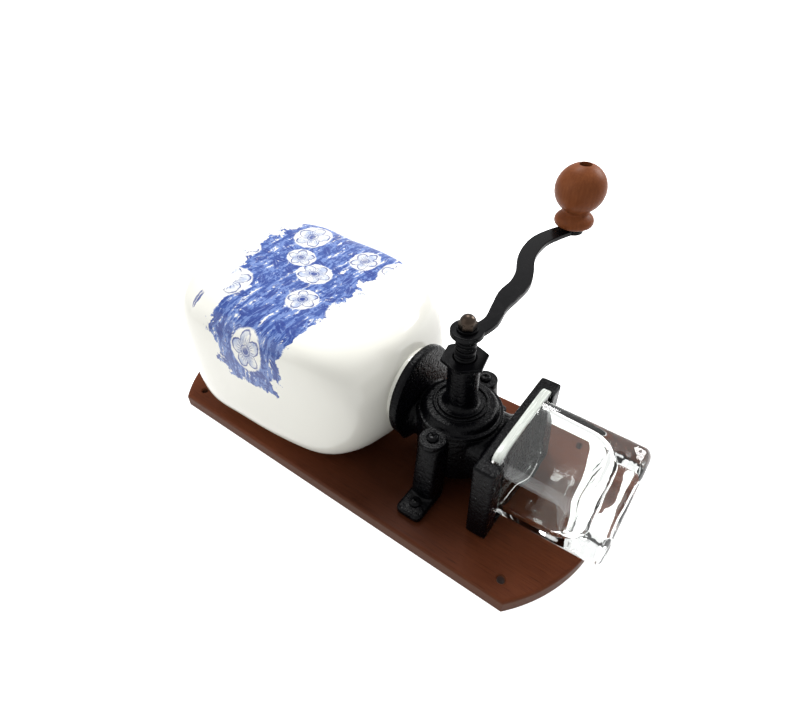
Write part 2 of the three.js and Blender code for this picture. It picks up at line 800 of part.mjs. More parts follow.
function buildCrank() {
  const arm = slab(armShape(), crankZ, crankFace, armEdge);
  const eye = slab(circle(eyeRadius), crankZ, crankFace, armEdge);
  const knobEye = slab(circle(knobEyeRadius, crankReach), crankZ, crankFace, armEdge);
  const [low, high] = [crankZ - overrun, crankFace + overrun];
  const squareHole = slab(polygon((squareSide + 2 * play) / Math.SQRT2, 4, Math.PI / 4), low, high);
  const pinHole = rod(knobPinRadius + play, low, high, smallSides).translate([crankReach, 0, 0]);
  add("crank_arm", cut(joined(arm, eye, knobEye), squareHole, pinHole), "blackSteel");

  const washerBack = crankFace + seat;
  const washerRadius = domeNutFlats * 0.66;
  const studHole = studRadius + play;
  add("crank_washer", sleeve(studHole, washerRadius, washerBack, washerBack + washerThick), "blackSteel");

  const nutBack = washerBack + washerThick + seat;
  const domeRadiusHere = domeNutFlats / 2;
  const baseFront = nutBack + domeNutBase;
  const base = slab(polygon(domeNutFlats / Math.sqrt(3), 6), nutBack, baseFront);
  const dome = [[0, nutBack], [domeRadiusHere, nutBack], [domeRadiusHere, baseFront]];
  for (let i = 1; i <= 4; i++) {
    const angle = (Math.PI / 2) * (i / 4);
    const radius = i === 4 ? 0 : domeRadiusHere * Math.cos(angle);
    dome.push([radius, baseFront + domeRadiusHere * Math.sin(angle)]);
  }
  const nut = base.add(turned(dome, smallSides));
  const nutHole = rod(studHole, nutBack - overrun, crankFace + studLength + seat, smallSides);
  add("dome_nut", cut(nut, nutHole), "bronze");
}

// The knob is turned from one piece of wood: a flange, a waist and a ball with a recess for the pin's head.
function buildKnob() {
  const pinHole = knobPinRadius + play;
  const ballCentre = knobHeight - knobBallRadius;
  const foot = knobFootShares.map(([out, up]) => [knobFlangeRadius * out, knobFootHeight * up]);
  const profile = [[pinHole, 0], ...foot];
  const start = Math.acos(knobNeckRadius / knobBallRadius);
  const recessAngle = Math.acos(knobRecessRadius / knobBallRadius);
  const steps = 9;
  for (let i = 0; i <= steps; i++) {
    const angle = -start + ((start + recessAngle) * i) / steps;
    profile.push([knobBallRadius * Math.cos(angle), ballCentre + knobBallRadius * Math.sin(angle)]);
  }
  const rimZ = ballCentre + knobBallRadius * Math.sin(recessAngle);
  profile.push([knobRecessRadius, rimZ - knobRecessDepth], [pinHole, rimZ - knobRecessDepth], [pinHole, 0]);
  const washerBack = crankFace + seat;
  const knobBack = washerBack + washerThick + seat;
  add("knob", turned(profile), "knobWood", crankReach, 0, knobBack);
  add("knob_washer", sleeve(pinHole, 2 * pinHole, washerBack, washerBack + washerThick, smallSides),
    "blackSteel", crankReach, 0, 0);

  const headBack = knobBack + rimZ - knobRecessDepth + seat;
  const rivet = turned(
    [
      [0, crankZ - seat - pinHeadThick],
      [pinHeadRadius * 0.7, crankZ - seat - pinHeadThick],
      [pinHeadRadius, crankZ - seat - pinHeadThick * 0.4],
      [pinHeadRadius, crankZ - seat],
      [knobPinRadius, crankZ - seat],
      [knobPinRadius, headBack],
      [pinHeadRadius, headBack],
      [pinHeadRadius * 0.7, headBack + pinHeadThick],
      [0, headBack + pinHeadThick],
    ],
    smallSides,
  );
  add("knob_pin", rivet, "blackSteel", crankReach, 0, 0);
}

// Hopper, its fixings and the lid

const hopperCurves = hopperShares[0].map(
  (_, column) => new THREE.SplineCurve(hopperShares.map((row, i) => new THREE.Vector2(i, row[column]))),
);

// The hopper's height, half width, half depth, middle and squareness, part of the way up its curve.
function hopperSizes(way) {
  const [height, wide, deep, lean, square] = hopperCurves.map((curve) => curve.getPoint(way).y);
  return [
    hopperNeckTop + hopperHeight * height,
    hopperNeckRadius + (hopperHalfWidth - hopperNeckRadius) * wide,
    hopperNeckRadius + (hopperHalfDepth - hopperNeckRadius) * deep,
    socketZ + hopperLean * lean,
    square,
  ];
}

// A ring of the hopper, moved square to its side by the wall's thickness.
function hopperRing(way, wall) {
  const [y, halfX, halfZ, centre, square] = hopperSizes(way);
  const step = 1e-3;
  const below = hopperSizes(Math.max(0, way - step));
  const above = hopperSizes(Math.min(1, way + step));
  const rise = above[0] - below[0];
  const widen = (above[1] + above[2] - below[1] - below[2]) / 2;
  const inset = (wall * rise) / Math.hypot(rise, widen);
  const lift = (wall * widen) / Math.hypot(rise, widen);
  return section(y + lift, halfX - inset, halfZ - inset, centre, square);
}

function hopperRings(wall, bottom, steps) {
  const neck = hopperNeckRadius - wall;
  const rings = [section(bottom, neck, neck, socketZ, 2)];
  for (let i = 0; i <= steps; i++) rings.push(hopperRing(i / steps, wall));
  return rings;
}

function buildHopper() {
  const shell = loft(hopperRings(0, hopperBase, 16));
  const hollow = hopperRings(hopperWall, hopperBase + hopperFloor, 12);
  const mouth = hollow[hollow.length - 1].map((p) => p.clone().setY(hopperMouth + overrun));
  const inside = loft([...hollow, mouth]);
  const feedHole = rod(hopperHoleRadius, -hopperMouth, hopperMouth, sides).rotate([90, 0, 0]);
  const screwHoles = sidesOfAxle.map(([, side]) => {
    const hole = rod(screwHole, -hopperMouth, hopperMouth, smallSides).rotate([90, 0, 0]);
    return hole.translate([side * hopperScrewX, 0, 0]);
  });
  const holes = [feedHole, ...screwHoles].map((hole) => hole.translate([0, 0, socketZ]));
  add("hopper", cut(shell, inside, ...holes), "porcelain");

  const gasketOuter = hopperNeckRadius - seat;
  const rings = [cupFloor + seat, cupFloor + seat + gasketThick].map((y) =>
    section(y, gasketOuter, gasketOuter, socketZ, 2),
  );
  add("hopper_gasket", cut(loft(rings), ...holes), "rubber");
  for (const [name, side] of sidesOfAxle) {
    const screw = add("hopper_screw_" + name, crossScrew(hopperScrewLength), "blackSteel",
      side * hopperScrewX, hopperBase + hopperFloor + seat, socketZ);
    screw.rotation.x = -Math.PI / 2;
  }
}

// The lid carries the crown's curve on to its top, over a rubber seal, with a skirt inside the mouth.
function buildLid() {
  const [, halfX, halfZ, centre, square] = hopperSizes(1);
  const ring = (y, inset) => section(y, halfX - inset, halfZ - inset, centre, square);
  const sealTop = hopperMouth + seat + sealThick;
  const sealOuter = loft([ring(hopperMouth + seat, seat), ring(sealTop, seat)]);
  const sealInner = loft([ring(hopperMouth, seat + sealWidth), ring(sealTop + overrun, seat + sealWidth)]);
  add("lid_seal", cut(sealOuter, sealInner), "rubber");

  const dome = (inset, drop) => {
    const rings = [];
    const steps = 5;
    for (let i = 0; i <= steps; i++) {
      const angle = (Math.PI / 2) * (i / steps);
      const y = lidBase + lidRise * Math.sin(angle);
      const shrink = 1 - 0.9 * (1 - Math.cos(angle));
      rings.push(section(y - drop, (halfX - inset) * shrink, (halfZ - inset) * shrink, centre, 2));
    }
    return loft(rings);
  };
  const skirtInset = hopperWall + play;
  const skirt = loft([ring(lidBase - lidSkirt, skirtInset), ring(lidBase + lidWall, skirtInset + seat)]);
  const skirtHollow = loft([
    ring(lidBase - lidSkirt - overrun, skirtInset + lidWall),
    ring(lidBase, skirtInset + lidWall),
  ]);
  add("lid", cut(dome(0, 0).add(skirt), dome(skirtInset + lidWall, lidWall), skirtHollow), "porcelain");
}

// Jar

function buildJar() {
  const middle = (jarBack + jarFront) / 2;
  const halfDepth = (jarFront - jarBack) / 2;
  const ring = (y, inset, square = jarCorner) =>
    section(y, jarHalfWidth - inset, halfDepth - inset, middle, square);
  const foot = jarFloor * 0.6;
  const outer = loft([
    ring(jarBottom, jarDraft + foot * 0.7),
    ring(jarBottom + foot * 0.15, jarDraft + foot * 0.35),
    ring(jarBottom + foot * 0.45, jarDraft + foot * 0.1),
    ring(jarBottom + foot, jarDraft),
    ring(lipTop, 0),
  ]);
  const inner = loft([
    ring(jarBottom + jarFloor, jarWall + jarDraft + foot * 0.6),
    ring(jarBottom + jarFloor + foot * 0.2, jarWall + jarDraft + foot * 0.25),
    ring(jarBottom + jarFloor + foot * 0.7, jarWall + jarDraft),
    ring(lipTop + overrun, jarWall),
  ]);
  const lipBack = jarBack - castEdge;
  const lipMiddle = (lipBack + lipFront) / 2;
  const lipHalfDepth = (lipFront - lipBack) / 2;
  const lipEdge = lipThick * 0.12;
  const lipStations = [
    [lipBottom, lipEdge],
    [lipBottom + lipEdge, 0],
    [lipTop - lipEdge, 0],
    [lipTop, lipEdge],
  ];
  const lip = loft(
    lipStations.map(([y, inset]) =>
      section(y, lipHalfWidth - inset, lipHalfDepth - inset, lipMiddle, 2 * jarCorner),
    ),
  );
  add("glass_jar", cut(outer.add(lip), inner), "glass");
}

buildBoard();
buildCasting();
buildCover();
buildSpindle();
buildBurrs();
buildCrank();
buildKnob();
buildHopper();
buildLid();
buildJar();

// Upright: y on the board becomes up, and z out from the wall becomes the front.
grinder.rotation.x = Math.PI / 2;

export default grinder;
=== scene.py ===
# %% [markdown]
# # A wall mounted coffee grinder
# The real object is a stained wooden board that carries a black casting with a conical burr set inside.
# Beans fall from a porcelain hopper, a curved crank turns the burrs, and the grounds land in a glass jar.
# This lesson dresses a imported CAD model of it: almost every piece is built again with smooth curves, and
# each gets the finish of the real one. Everything is in metres in the CAD model's own frame: X to the
# right, Z up the board, and -Y out from the wall.

import math

import bmesh
import bpy
from mathutils import Matrix, Vector


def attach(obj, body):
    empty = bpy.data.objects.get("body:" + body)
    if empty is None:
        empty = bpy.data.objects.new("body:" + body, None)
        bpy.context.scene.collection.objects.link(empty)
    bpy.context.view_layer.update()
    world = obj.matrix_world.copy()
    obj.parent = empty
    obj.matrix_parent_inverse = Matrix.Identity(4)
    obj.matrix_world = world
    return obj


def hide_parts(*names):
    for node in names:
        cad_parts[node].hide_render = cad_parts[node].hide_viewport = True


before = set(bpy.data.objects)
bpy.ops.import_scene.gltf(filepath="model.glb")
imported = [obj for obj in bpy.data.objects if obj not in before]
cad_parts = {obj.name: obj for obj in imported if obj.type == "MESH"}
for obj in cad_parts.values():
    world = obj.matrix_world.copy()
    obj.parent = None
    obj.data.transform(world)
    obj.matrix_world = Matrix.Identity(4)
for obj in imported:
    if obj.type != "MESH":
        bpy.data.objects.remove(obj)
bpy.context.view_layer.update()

# %% [markdown]
# ## Camera
# The photograph was taken close to the grinder with the board lying on its back, so the camera looks at it
# from the front, the left and below, and is rolled over. A camera can be placed by three angles, but here
# its axes were fitted to points of the photograph, so they are written down as a matrix.

# %% Camera at the photograph's viewing angle
def add_object(name, data):
    """An object in the scene that shows a mesh, a camera or a lamp."""
    made = bpy.data.objects.new(name, data)
    bpy.context.scene.collection.objects.link(made)
    return made


camera_data = bpy.data.cameras.new("photo_camera")
camera_data.sensor_width = 36.0
camera_data.lens = 24.09
camera_data.clip_start = 0.01
camera = add_object("photo_camera", camera_data)
bpy.context.scene.camera = camera

camera_right = Vector((0.59355, 0.01550, -0.80465))
camera_up = Vector((0.52751, -0.76258, 0.37443))
camera_back = Vector((-0.60780, -0.64671, -0.46081))
turn_camera = Matrix((camera_right, camera_up, camera_back)).transposed().to_4x4()
camera.matrix_world = Matrix.Translation((-0.21435, -0.31065, -0.11197)) @ turn_camera
print("camera stands", round(camera.location.length, 3), "m from the middle of the wall face")

# %% [markdown]
# ## Shapes from points
# Blender keeps a mesh as points and faces. The helpers below take points in millimetres as the maker of a
# grinder would measure them: across the board, up the board, and out from the wall. Writing the points by
# rule, and not by hand, keeps every curve smooth and every size easy to change.

# %% Points, pieces and skins
MM = 0.001
FULL_TURN = 2 * math.pi


def at(across, up, out):
    """A point on the board in millimetres, as a place in the scene."""
    return Vector((across, -out, up)) * MM


def make_piece(name, points, faces):
    """An object from millimetre points, with its doubles merged and its faces turned outwards."""
    mesh = bpy.data.meshes.new(name)
    mesh.from_pydata([at(*point) for point in points], [], faces)
    skin = bmesh.new()
    skin.from_mesh(mesh)
    bmesh.ops.remove_doubles(skin, verts=skin.verts, dist=0.004 * MM)
    bmesh.ops.recalc_face_normals(skin, faces=skin.faces)
    skin.to_mesh(mesh)
    skin.free()
    return add_object(name, mesh)


def woven(rows, count, rows_close, count_closes):
    """The faces between rows of points. Where a direction closes, its last point joins its first."""
    faces = []
    for k in range(rows if rows_close else rows - 1):
        here, there = k * count, (k + 1) % rows * count
        for i in range(count if count_closes else count - 1):
            j = (i + 1) % count
            faces.append((here + i, here + j, there + j, there + i))
    return faces


def skin_over(name, rings, loop=False):
    """A closed body through rings with equal counts. With loop, the last ring joins the first."""
    count = len(rings[0])
    points = [point for ring in rings for point in ring]
    faces = woven(len(rings), count, loop, True)
    if not loop:
        faces.append(tuple(range(count)))
        faces.append(tuple(range(len(points) - count, len(points))))
    return make_piece(name, points, faces)


def settle(piece):
    """Turns what the modifiers show into the piece's own plain mesh."""
    shown = piece.evaluated_get(bpy.context.evaluated_depsgraph_get())
    mesh = bpy.data.meshes.new_from_object(shown)
    mesh.name = piece.name
    piece.modifiers.clear()
    old, piece.data = piece.data, mesh
    bpy.data.meshes.remove(old)
    return piece


def smooth(piece, angle=32, weighted=True):
    """Shades soft up to an angle and leaves flat faces flat."""
    piece.data.shade_smooth()
    piece.data.set_sharp_from_angle(angle=math.radians(angle))
    if weighted:
        weigh = piece.modifiers.new("weigh normals", "WEIGHTED_NORMAL")
        weigh.keep_sharp = True
        weigh.weight = 80
        settle(piece)
    return piece


def combine(piece, operation, *others):
    """Joins other bodies to a piece, or cuts them out of it, and drops them."""
    for other in others:
        step = piece.modifiers.new(operation.lower(), "BOOLEAN")
        step.operation = operation
        step.solver = "MANIFOLD"
        step.object = other
        settle(piece)
        spent = other.data
        bpy.data.objects.remove(other)
        bpy.data.meshes.remove(spent)
    return piece


# %% [markdown]
# ## Rounded corners and turned pieces
# No real edge is perfectly sharp, and a sharp one catches no light. A corner of an outline is rounded by a
# short curve before the outline is turned on a lathe or cut from plate, which is lighter and more exact
# than a Bevel modifier on the finished mesh.

# %% Outlines
def shares(steps):
    """Equal steps from 0 to 1."""
    return [i / steps for i in range(steps + 1)]


def rounded(points, closed=True, steps=4):
    """Rounds each corner (a, b, radius) of an outline by a short curve. A corner without radius stays."""
    smooth_line = []
    for i, point in enumerate(points):
        radius = point[2] if len(point) > 2 else 0
        corner = Vector(point[:2])
        if radius == 0 or (not closed and i in (0, len(points) - 1)):
            smooth_line.append(tuple(corner))
            continue
        before = Vector(points[i - 1][:2]) - corner
        after = Vector(points[(i + 1) % len(points)][:2]) - corner
        start = corner + before.normalized() * min(radius, before.length * 0.49)
        end = corner + after.normalized() * min(radius, after.length * 0.49)
        for t in shares(steps):
            smooth_line.append(tuple(start * (1 - t) ** 2 + corner * 2 * t * (1 - t) + end * t ** 2))
    return smooth_line


def rectangle(left, right, low, high):
    return [(left, low), (right, low), (right, high), (left, high)]


def arc(across, up, radius, start, end, steps):
    """Points along an arc, with angles in degrees."""
    angles = [math.radians(start + (end - start) * i / steps) for i in range(steps + 1)]
    return [(across + radius * math.cos(a), up + radius * math.sin(a)) for a in angles]


def hexagon(radius, turn=0.0):
    return arc(0, 0, radius, turn, turn + 300, 5)


def quarter(steps):
    """How far a point on a quarter circle has risen and leaned over, both from 0 to 1."""
    angles = [math.pi / 2 * i / steps for i in range(steps + 1)]
    return [(math.sin(a), 1 - math.cos(a)) for a in angles]


def oval(up, half_across, half_out, middle, square=2.0, count=96):
    """A ring round the vertical. square runs from 2, an ellipse, towards a rectangle."""
    def bend(v):
        return math.copysign(abs(v) ** (2 / square), v)
    ring = []
    for i in range(count):
        angle = FULL_TURN * (i + 0.5) / count
        ring.append((half_across * bend(math.cos(angle)), up, middle + half_out * bend(math.sin(angle))))
    return ring


def rings_of(ring, *rows):
    """A ring for each row of its values."""
    return [ring(*row) for row in rows]


def through(values, t):
    """A smooth curve through equally spaced values, for t from 0 to 1."""
    place = t * (len(values) - 1)
    i = min(int(place), len(values) - 2)
    w = place - i
    before, start = values[max(i - 1, 0)], values[i]
    end, after = values[i + 1], values[min(i + 2, len(values) - 1)]
    slope_in, slope_out = (end - before) / 2, (after - start) / 2
    return ((2 * start - 2 * end + slope_in + slope_out) * w ** 3
            + (3 * end - 3 * start - 2 * slope_in - slope_out) * w ** 2 + slope_in * w + start)


# %% Lathe and plate
def turned(name, profile, across=0.0, up=0.0, count=96):
    """A body turned about an axis that points out from the wall. The profile is (radius, out, rounding)."""
    on_axis = profile[0][0] == 0
    line = rounded(profile, closed=not on_axis)
    points = []
    for i in range(count):
        angle = FULL_TURN * i / count
        for radius, out in line:
            points.append((across + radius * math.cos(angle), up + radius * math.sin(angle), out))
    return make_piece(name, points, woven(count, len(line), True, not on_axis))


def rod(name, radius, back, front, across=0.0, edge=0.0, count=48):
    """A round bar that points out from the wall, also used as a drill."""
    profile = [(0, back), (radius, back, edge), (radius, front, edge), (0, front)]
    return turned(name, profile, across, 0.0, count)


def washer(name, inner, outer, back, front, across=0.0):
    """A flat ring round an axis that points out from the wall."""
    edge = 0.2
    profile = [(inner, back, edge), (outer, back, edge), (outer, front, edge), (inner, front, edge)]
    return turned(name, profile, across, 0.0, 64)


def plate(name, outline, back, front, edge=0.0, steps=3):
    """A plate cut to an outline of (across, up) points, with its rims rounded."""
    made = skin_over(name, [[(x, y, out) for x, y in outline] for out in (back, front)])
    if edge:
        skin = bmesh.new()
        skin.from_mesh(made.data)
        rims = [e for e in skin.edges if abs(e.verts[0].co.y - e.verts[1].co.y) < 0.01 * MM]
        bmesh.ops.bevel(skin, geom=rims, offset=edge * MM, segments=steps, profile=0.5, affect="EDGES",
                        clamp_overlap=True)
        skin.to_mesh(made.data)
        skin.free()
    return made


# %% [markdown]
# ## Finishes
# Each finish is a Principled shader fed by noise that is measured in the object's own coordinates, so it
# stays the same size on every piece and needs no picture. A number that is the same all over a finish is
# set on the shader itself, and only what varies, such as colour or bumps, comes from nodes. Math nodes can
# be placed one by one, but a small class that turns a plain formula into them is easier to read.

# %% Formulas that turn into nodes
def add_node(tree, kind, values=None, **settings):
    """Adds a node and gives its outputs. Each input gets a plain value or a link from another node."""
    node = tree.nodes.new(kind)
    for key, value in settings.items():
        setattr(node, key, value)
    for key, value in (values or {}).items():
        value = getattr(value, "socket", value)
        if isinstance(value, bpy.types.NodeSocket):
            tree.links.new(value, node.inputs[key])
        else:
            node.inputs[key].default_value = value
    return node.outputs


class Number:
    """A number that varies over a surface. A formula with it becomes Math nodes."""

    def __init__(self, tree, socket):
        self.tree, self.socket = tree, socket

    def then(self, operation, *others):
        """The result of a Math node that takes this number first."""
        values = dict(enumerate((self, *others)))
        return Number(self.tree, add_node(self.tree, "ShaderNodeMath", values, operation=operation)[0])

    def __add__(self, other):
        return self.then("ADD", other)

    def __sub__(self, other):
        return self.then("SUBTRACT", other)

    def __rsub__(self, other):
        return self.then("MULTIPLY_ADD", -1.0, other)

    def __mul__(self, other):
        return self.then("MULTIPLY", other)

    def __abs__(self):
        return self.then("ABSOLUTE")

    def span(self, low, high, to_low=0.0, to_high=1.0):
        """Moves the number from one range to another and clamps it there."""
        values = {"Value": self, "From Min": low, "From Max": high, "To Min": to_low, "To Max": to_high}
        return Number(self.tree, add_node(self.tree, "ShaderNodeMapRange", values)["Result"])

    def below(self, limit, softness):
        """1 where the number is under a limit, fading to 0 over the softness."""
        return (self - limit).span(-softness, softness, 1.0, 0.0)

    def blend(self, first, second):
        """The first colour where the number is 0, and the second where it is 1."""
        values = {0: self, 6: first, 7: second}
        return add_node(self.tree, "ShaderNodeMix", values, data_type="RGBA")[2]


def pick(operation, first, *others):
    """The MAXIMUM or the MINIMUM of several numbers."""
    for other in others:
        first = first.then(operation, other)
    return first


# %% A material in short calls
class Finish:
    """A material with a Principled shader, its CAD slot, and short calls for its nodes."""

    def __init__(self, name, slot=None, **settings):
        self.slot = slot or name
        self.material = bpy.data.materials.new(name)
        self.material.use_nodes = True
        self.tree = self.material.node_tree
        self.shader = self.tree.nodes["Principled BSDF"]
        for key, value in settings.items():
            self.shader.inputs[key.replace("_", " ")].default_value = value
        self.place = self.add("ShaderNodeTexCoord")["Object"]

    def add(self, kind, values=None, **settings):
        return add_node(self.tree, kind, values, **settings)

    def vector(self, operation, *values):
        """The result of a Vector Math node: a vector, or a number for LENGTH and DISTANCE."""
        result = self.add("ShaderNodeVectorMath", dict(enumerate(values)), operation=operation)
        return Number(self.tree, result[1]) if operation in ("LENGTH", "DISTANCE") else result[0]

    def split(self, vector):
        """The three numbers in a vector or a colour."""
        return [Number(self.tree, part) for part in self.add("ShaderNodeSeparateXYZ", {0: vector})]

    def millimetres(self):
        """How far along X, Y and Z a point of the piece is."""
        return [axis * (1 / MM) for axis in self.split(self.place)]

    def noise(self, scale, detail=3.0, roughness=0.5, distortion=0.0, where=None):
        """Noise with so many repeats for each metre, or unit of where, evenly or along X, Y and Z."""
        where = where or self.place
        if isinstance(scale, tuple):
            where, scale = self.add("ShaderNodeMapping", {"Vector": where, "Scale": scale})[0], 1.0
        values = {"Vector": where, "Scale": scale, "Detail": detail, "Roughness": roughness,
                  "Distortion": distortion}
        return Number(self.tree, self.add("ShaderNodeTexNoise", values)["Fac"])

    def feed(self, name, value):
        self.tree.links.new(getattr(value, "socket", value), self.shader.inputs[name])

    def paint(self, tone, *coats):
        """Lays coats over a first tone, each with the share of it that covers."""
        for share, coat in coats:
            tone = share.blend(tone, coat)
        self.feed("Base Color", tone)

    def roughen(self, noise, smoothest, roughest):
        self.feed("Roughness", noise.span(0.3, 0.7, smoothest, roughest))

    def bump(self, height, depth_mm, strength=1.0):
        values = {"Height": height, "Distance": depth_mm * MM, "Strength": strength}
        self.feed("Normal", self.add("ShaderNodeBump", values)["Normal"])


def colour(red, green, blue):
    """A colour as it looks on a screen, from 0 to 255, as the linear values that shaders use."""
    def linear(v):
        v = v / 255
        return v / 12.92 if v <= 0.04045 else ((v + 0.055) / 1.055) ** 2.4
    return (linear(red), linear(green), linear(blue), 1.0)


# %% [markdown]
# ### Stained board
# The board is a plain hardwood, stained red brown and lacquered. Its fine grain runs up the board and the
# stain is a little uneven. The shade that the casting and the hopper throw on the board is painted into its
# colour as a darker middle. Long thin noise gives the grain, a wide soft noise gives the uneven stain, the
# distance from the casting gives the painted shade, and the distance out from the wall tells the paler cut
# sides from the face.

# %% Board finish
board_wood = Finish("board_wood", IOR=1.48, Specular_IOR_Level=0.06)
fine_grain = board_wood.noise((900, 900, 22), 4.0, 0.62, 0.25)
wide_grain = board_wood.noise((130, 130, 7), 2.0, 0.5, 0.8)
pores = board_wood.noise((2600, 2600, 90), 1.0).span(0.60, 0.72)
uneven = board_wood.noise((14, 14, 9), 2.0)
# The middle of the painted shade: the board's colour darkens around this place, by the casting.
shade_middle = (-0.02, -0.0105, 0.02)
from_casting = board_wood.vector("DISTANCE", board_wood.place, shade_middle)
_, board_y, _ = board_wood.millimetres()
board_wood.paint(
    fine_grain.span(0.3, 0.7).blend(colour(88, 44, 26), colour(104, 55, 33)),
    (wide_grain.span(0.35, 0.75, 0.0, 0.55), colour(76, 37, 22)),
    (uneven.span(0.35, 0.7, 0.0, 0.35), colour(118, 65, 39)),
    (pores * 0.45, colour(42, 19, 12)),
    # Painted shade: darker towards the casting, where the casting and the hopper shade the board.
    (from_casting.span(30 * MM, 105 * MM, 0.75, 0.0), colour(38, 17, 8)),
    (board_y.span(-10.4, -8.2, 0.0, 0.75), colour(92, 62, 47)),
)
board_wood.roughen(fine_grain, 0.42, 0.54)
board_wood.bump(fine_grain - pores, 0.05, 0.6)

# %% [markdown]
# ### Turned knob
# The knob is a lighter brown wood, turned with its grain along the crank pin and finished with a satin
# lacquer. The noise is stretched along the pin, with faint rings where the lathe cut through the years.

# %% Knob finish
CRANK_REACH = 152.0
knob_wood = Finish("knob_wood", IOR=1.48, Specular_IOR_Level=0.07)
from_pin = knob_wood.vector("SUBTRACT", knob_wood.place, (CRANK_REACH * MM, 0, 0))
knob_grain = knob_wood.noise((700, 26, 700), 4.0, 0.6, 0.3, where=from_pin)
knob_rings = knob_wood.noise((150, 9, 150), 2.0, 0.5, 1.2, where=from_pin)
knob_wood.paint(knob_grain.span(0.3, 0.7).blend(colour(116, 65, 37), colour(130, 75, 44)),
                (knob_rings.span(0.35, 0.7, 0.0, 0.5), colour(104, 56, 31)))
knob_wood.roughen(knob_grain, 0.34, 0.46)
knob_wood.bump(knob_grain, 0.03, 0.5)

# %% [markdown]
# ### Painted casting
# The casting is iron from a sand mould under a black satin paint. The sand leaves small lumps that the
# paint softens, and the paint itself dries to a fine orange peel, so two sizes of noise are added as bumps.

# %% Casting finish
cast_paint = Finish("cast_paint", "casting", Specular_IOR_Level=0.08, Base_Color=colour(4, 4, 6))
sand_lumps = cast_paint.noise(420.0, 3.0, 0.55)
orange_peel = cast_paint.noise(1500.0, 2.0)
cast_paint.bump(sand_lumps * 1.6 + orange_peel * 0.2, 0.36)
cast_paint.roughen(sand_lumps, 0.2, 0.34)

# %% [markdown]
# ### Blackened steel
# Crank, spindle, nut and screws are steel with a thin black finish. It is smoother than the casting, and a
# faint cloudiness in its gloss keeps the large flat of the crank from looking like plastic.

# %% Blackened steel finish
black_steel = Finish("black_steel", Specular_IOR_Level=0.07, Base_Color=colour(8, 8, 10))
black_steel.roughen(black_steel.noise(160.0), 0.18, 0.3)
black_steel.bump(black_steel.noise((900, 900, 2600), 2.0), 0.03, 0.4)

# %% [markdown]
# ### Bronze, burr steel and rubber
# The dome nut, the bearings and the thrust washer are brown bronze. The burrs, the spring and its washer
# are bare steel with fine tool marks. The seals are soft black rubber, where only a fine grain shows.

# %% Small finishes
bronze = Finish("bronze", Metallic=1.0)
tarnish = bronze.noise(120.0)
bronze.paint(tarnish.span(0.3, 0.75).blend(colour(66, 57, 50), colour(50, 42, 36)))
bronze.roughen(tarnish, 0.24, 0.4)

burr_steel = Finish("burr_steel", Metallic=1.0)
tool_marks = burr_steel.noise((400, 3000, 400), 2.0)
burr_steel.paint(tool_marks.blend(colour(150, 152, 158), colour(184, 186, 190)))
burr_steel.roughen(tool_marks, 0.28, 0.42)
burr_steel.bump(tool_marks, 0.02, 0.5)

rubber = Finish("rubber", Base_Color=colour(48, 48, 49))
rubber_grain = rubber.noise(2400.0, 2.0)
rubber.roughen(rubber_grain, 0.62, 0.78)
rubber.bump(rubber_grain, 0.03, 0.5)

# %% [markdown]
# ### Jar glass
# The jar is clear pressed glass. Its walls are thick, so it is modelled as a solid body with a hollow, and
# the shader bends the light at every surface. A trace of green belongs to ordinary soda glass, and a slow
# unevenness from the press keeps the reflections alive, more so in the floor. The lip is ground flat in
# front, so there the glass scatters light and looks pale: the place on the jar tells the shader where.

# %% Glass finish
jar_glass = Finish("jar_glass", IOR=1.5)
_, jar_y, jar_high = jar_glass.millimetres()
ground_lip = jar_high.span(-45.9, -45.3) * jar_y.span(-72.0, -73.0)
near_floor = jar_high.span(-86.0, -97.0, 0.3, 2.2)
press_waves = (jar_glass.noise(55.0, 1.0) + jar_glass.noise(150.0, 1.0) * 0.3) * near_floor
grinding = jar_glass.noise((60, 60, 900), 3.0)
jar_glass.paint(ground_lip.blend((0.95, 0.975, 0.96, 1.0), colour(226, 232, 224)))
jar_glass.feed("Transmission Weight", ground_lip.span(0.0, 1.0, 1.0, 0.22))
jar_glass.feed("Roughness", ground_lip * grinding.span(0.3, 0.7, 0.12, 0.35))
jar_glass.bump(press_waves, 0.5, 0.5)

# %% [markdown]
# ### Glazed porcelain with blue brushwork
# The hopper is ivory white porcelain under a clear glaze, with cobalt blue painting beneath it. A plain
# blossom pattern of the traditional kind stands here. It could be drawn as thin strokes of mesh, but as
# part of the finish it lies under the glaze, as real painting does. The pattern is laid on two numbers: how
# far round the hopper a point is, and how high. A Voronoi texture scatters cells, and in each cell the
# distance and angle from its middle draw one flower or leaf. A little noise makes every line as unsteady as
# a brush.

# %% The place on the porcelain, and its cells
porcelain = Finish("porcelain", IOR=1.5, Specular_IOR_Level=0.4)
HOPPER_RADIUS = 62.0
hopper_x, hopper_y, hopper_high = porcelain.millimetres()
round_hopper = hopper_x.then("ARCTAN2", hopper_y * -1.0 - 64.5) * HOPPER_RADIUS
wrap = porcelain.add("ShaderNodeCombineXYZ", {"X": round_hopper, "Y": hopper_high})[0]
brush = porcelain.add("ShaderNodeTexNoise", {"Vector": wrap, "Scale": 0.35, "Detail": 3.0})["Color"]
wobble = porcelain.vector("SUBTRACT", brush, (0.5, 0.5, 0.5))
drawn = porcelain.vector("MULTIPLY_ADD", wobble, (2.2, 2.2, 2.2), wrap)


def motif_cells(spacing, scatter, shift):
    """Scatters cells. Each point gets its distance and angle from its cell's middle, and three chances."""
    where = porcelain.vector("ADD", drawn, (shift, shift * 0.7, 0.0))
    values = {"Vector": where, "Scale": 1 / spacing, "Randomness": scatter}
    cells = porcelain.add("ShaderNodeTexVoronoi", values, voronoi_dimensions="2D")
    offset = porcelain.vector("SUBTRACT", where, cells["Position"])
    chances = porcelain.split(cells["Color"])
    aside, along, _ = porcelain.split(offset)
    angle = along.then("ARCTAN2", aside) + chances[0] * FULL_TURN
    return porcelain.vector("LENGTH", offset), angle, chances


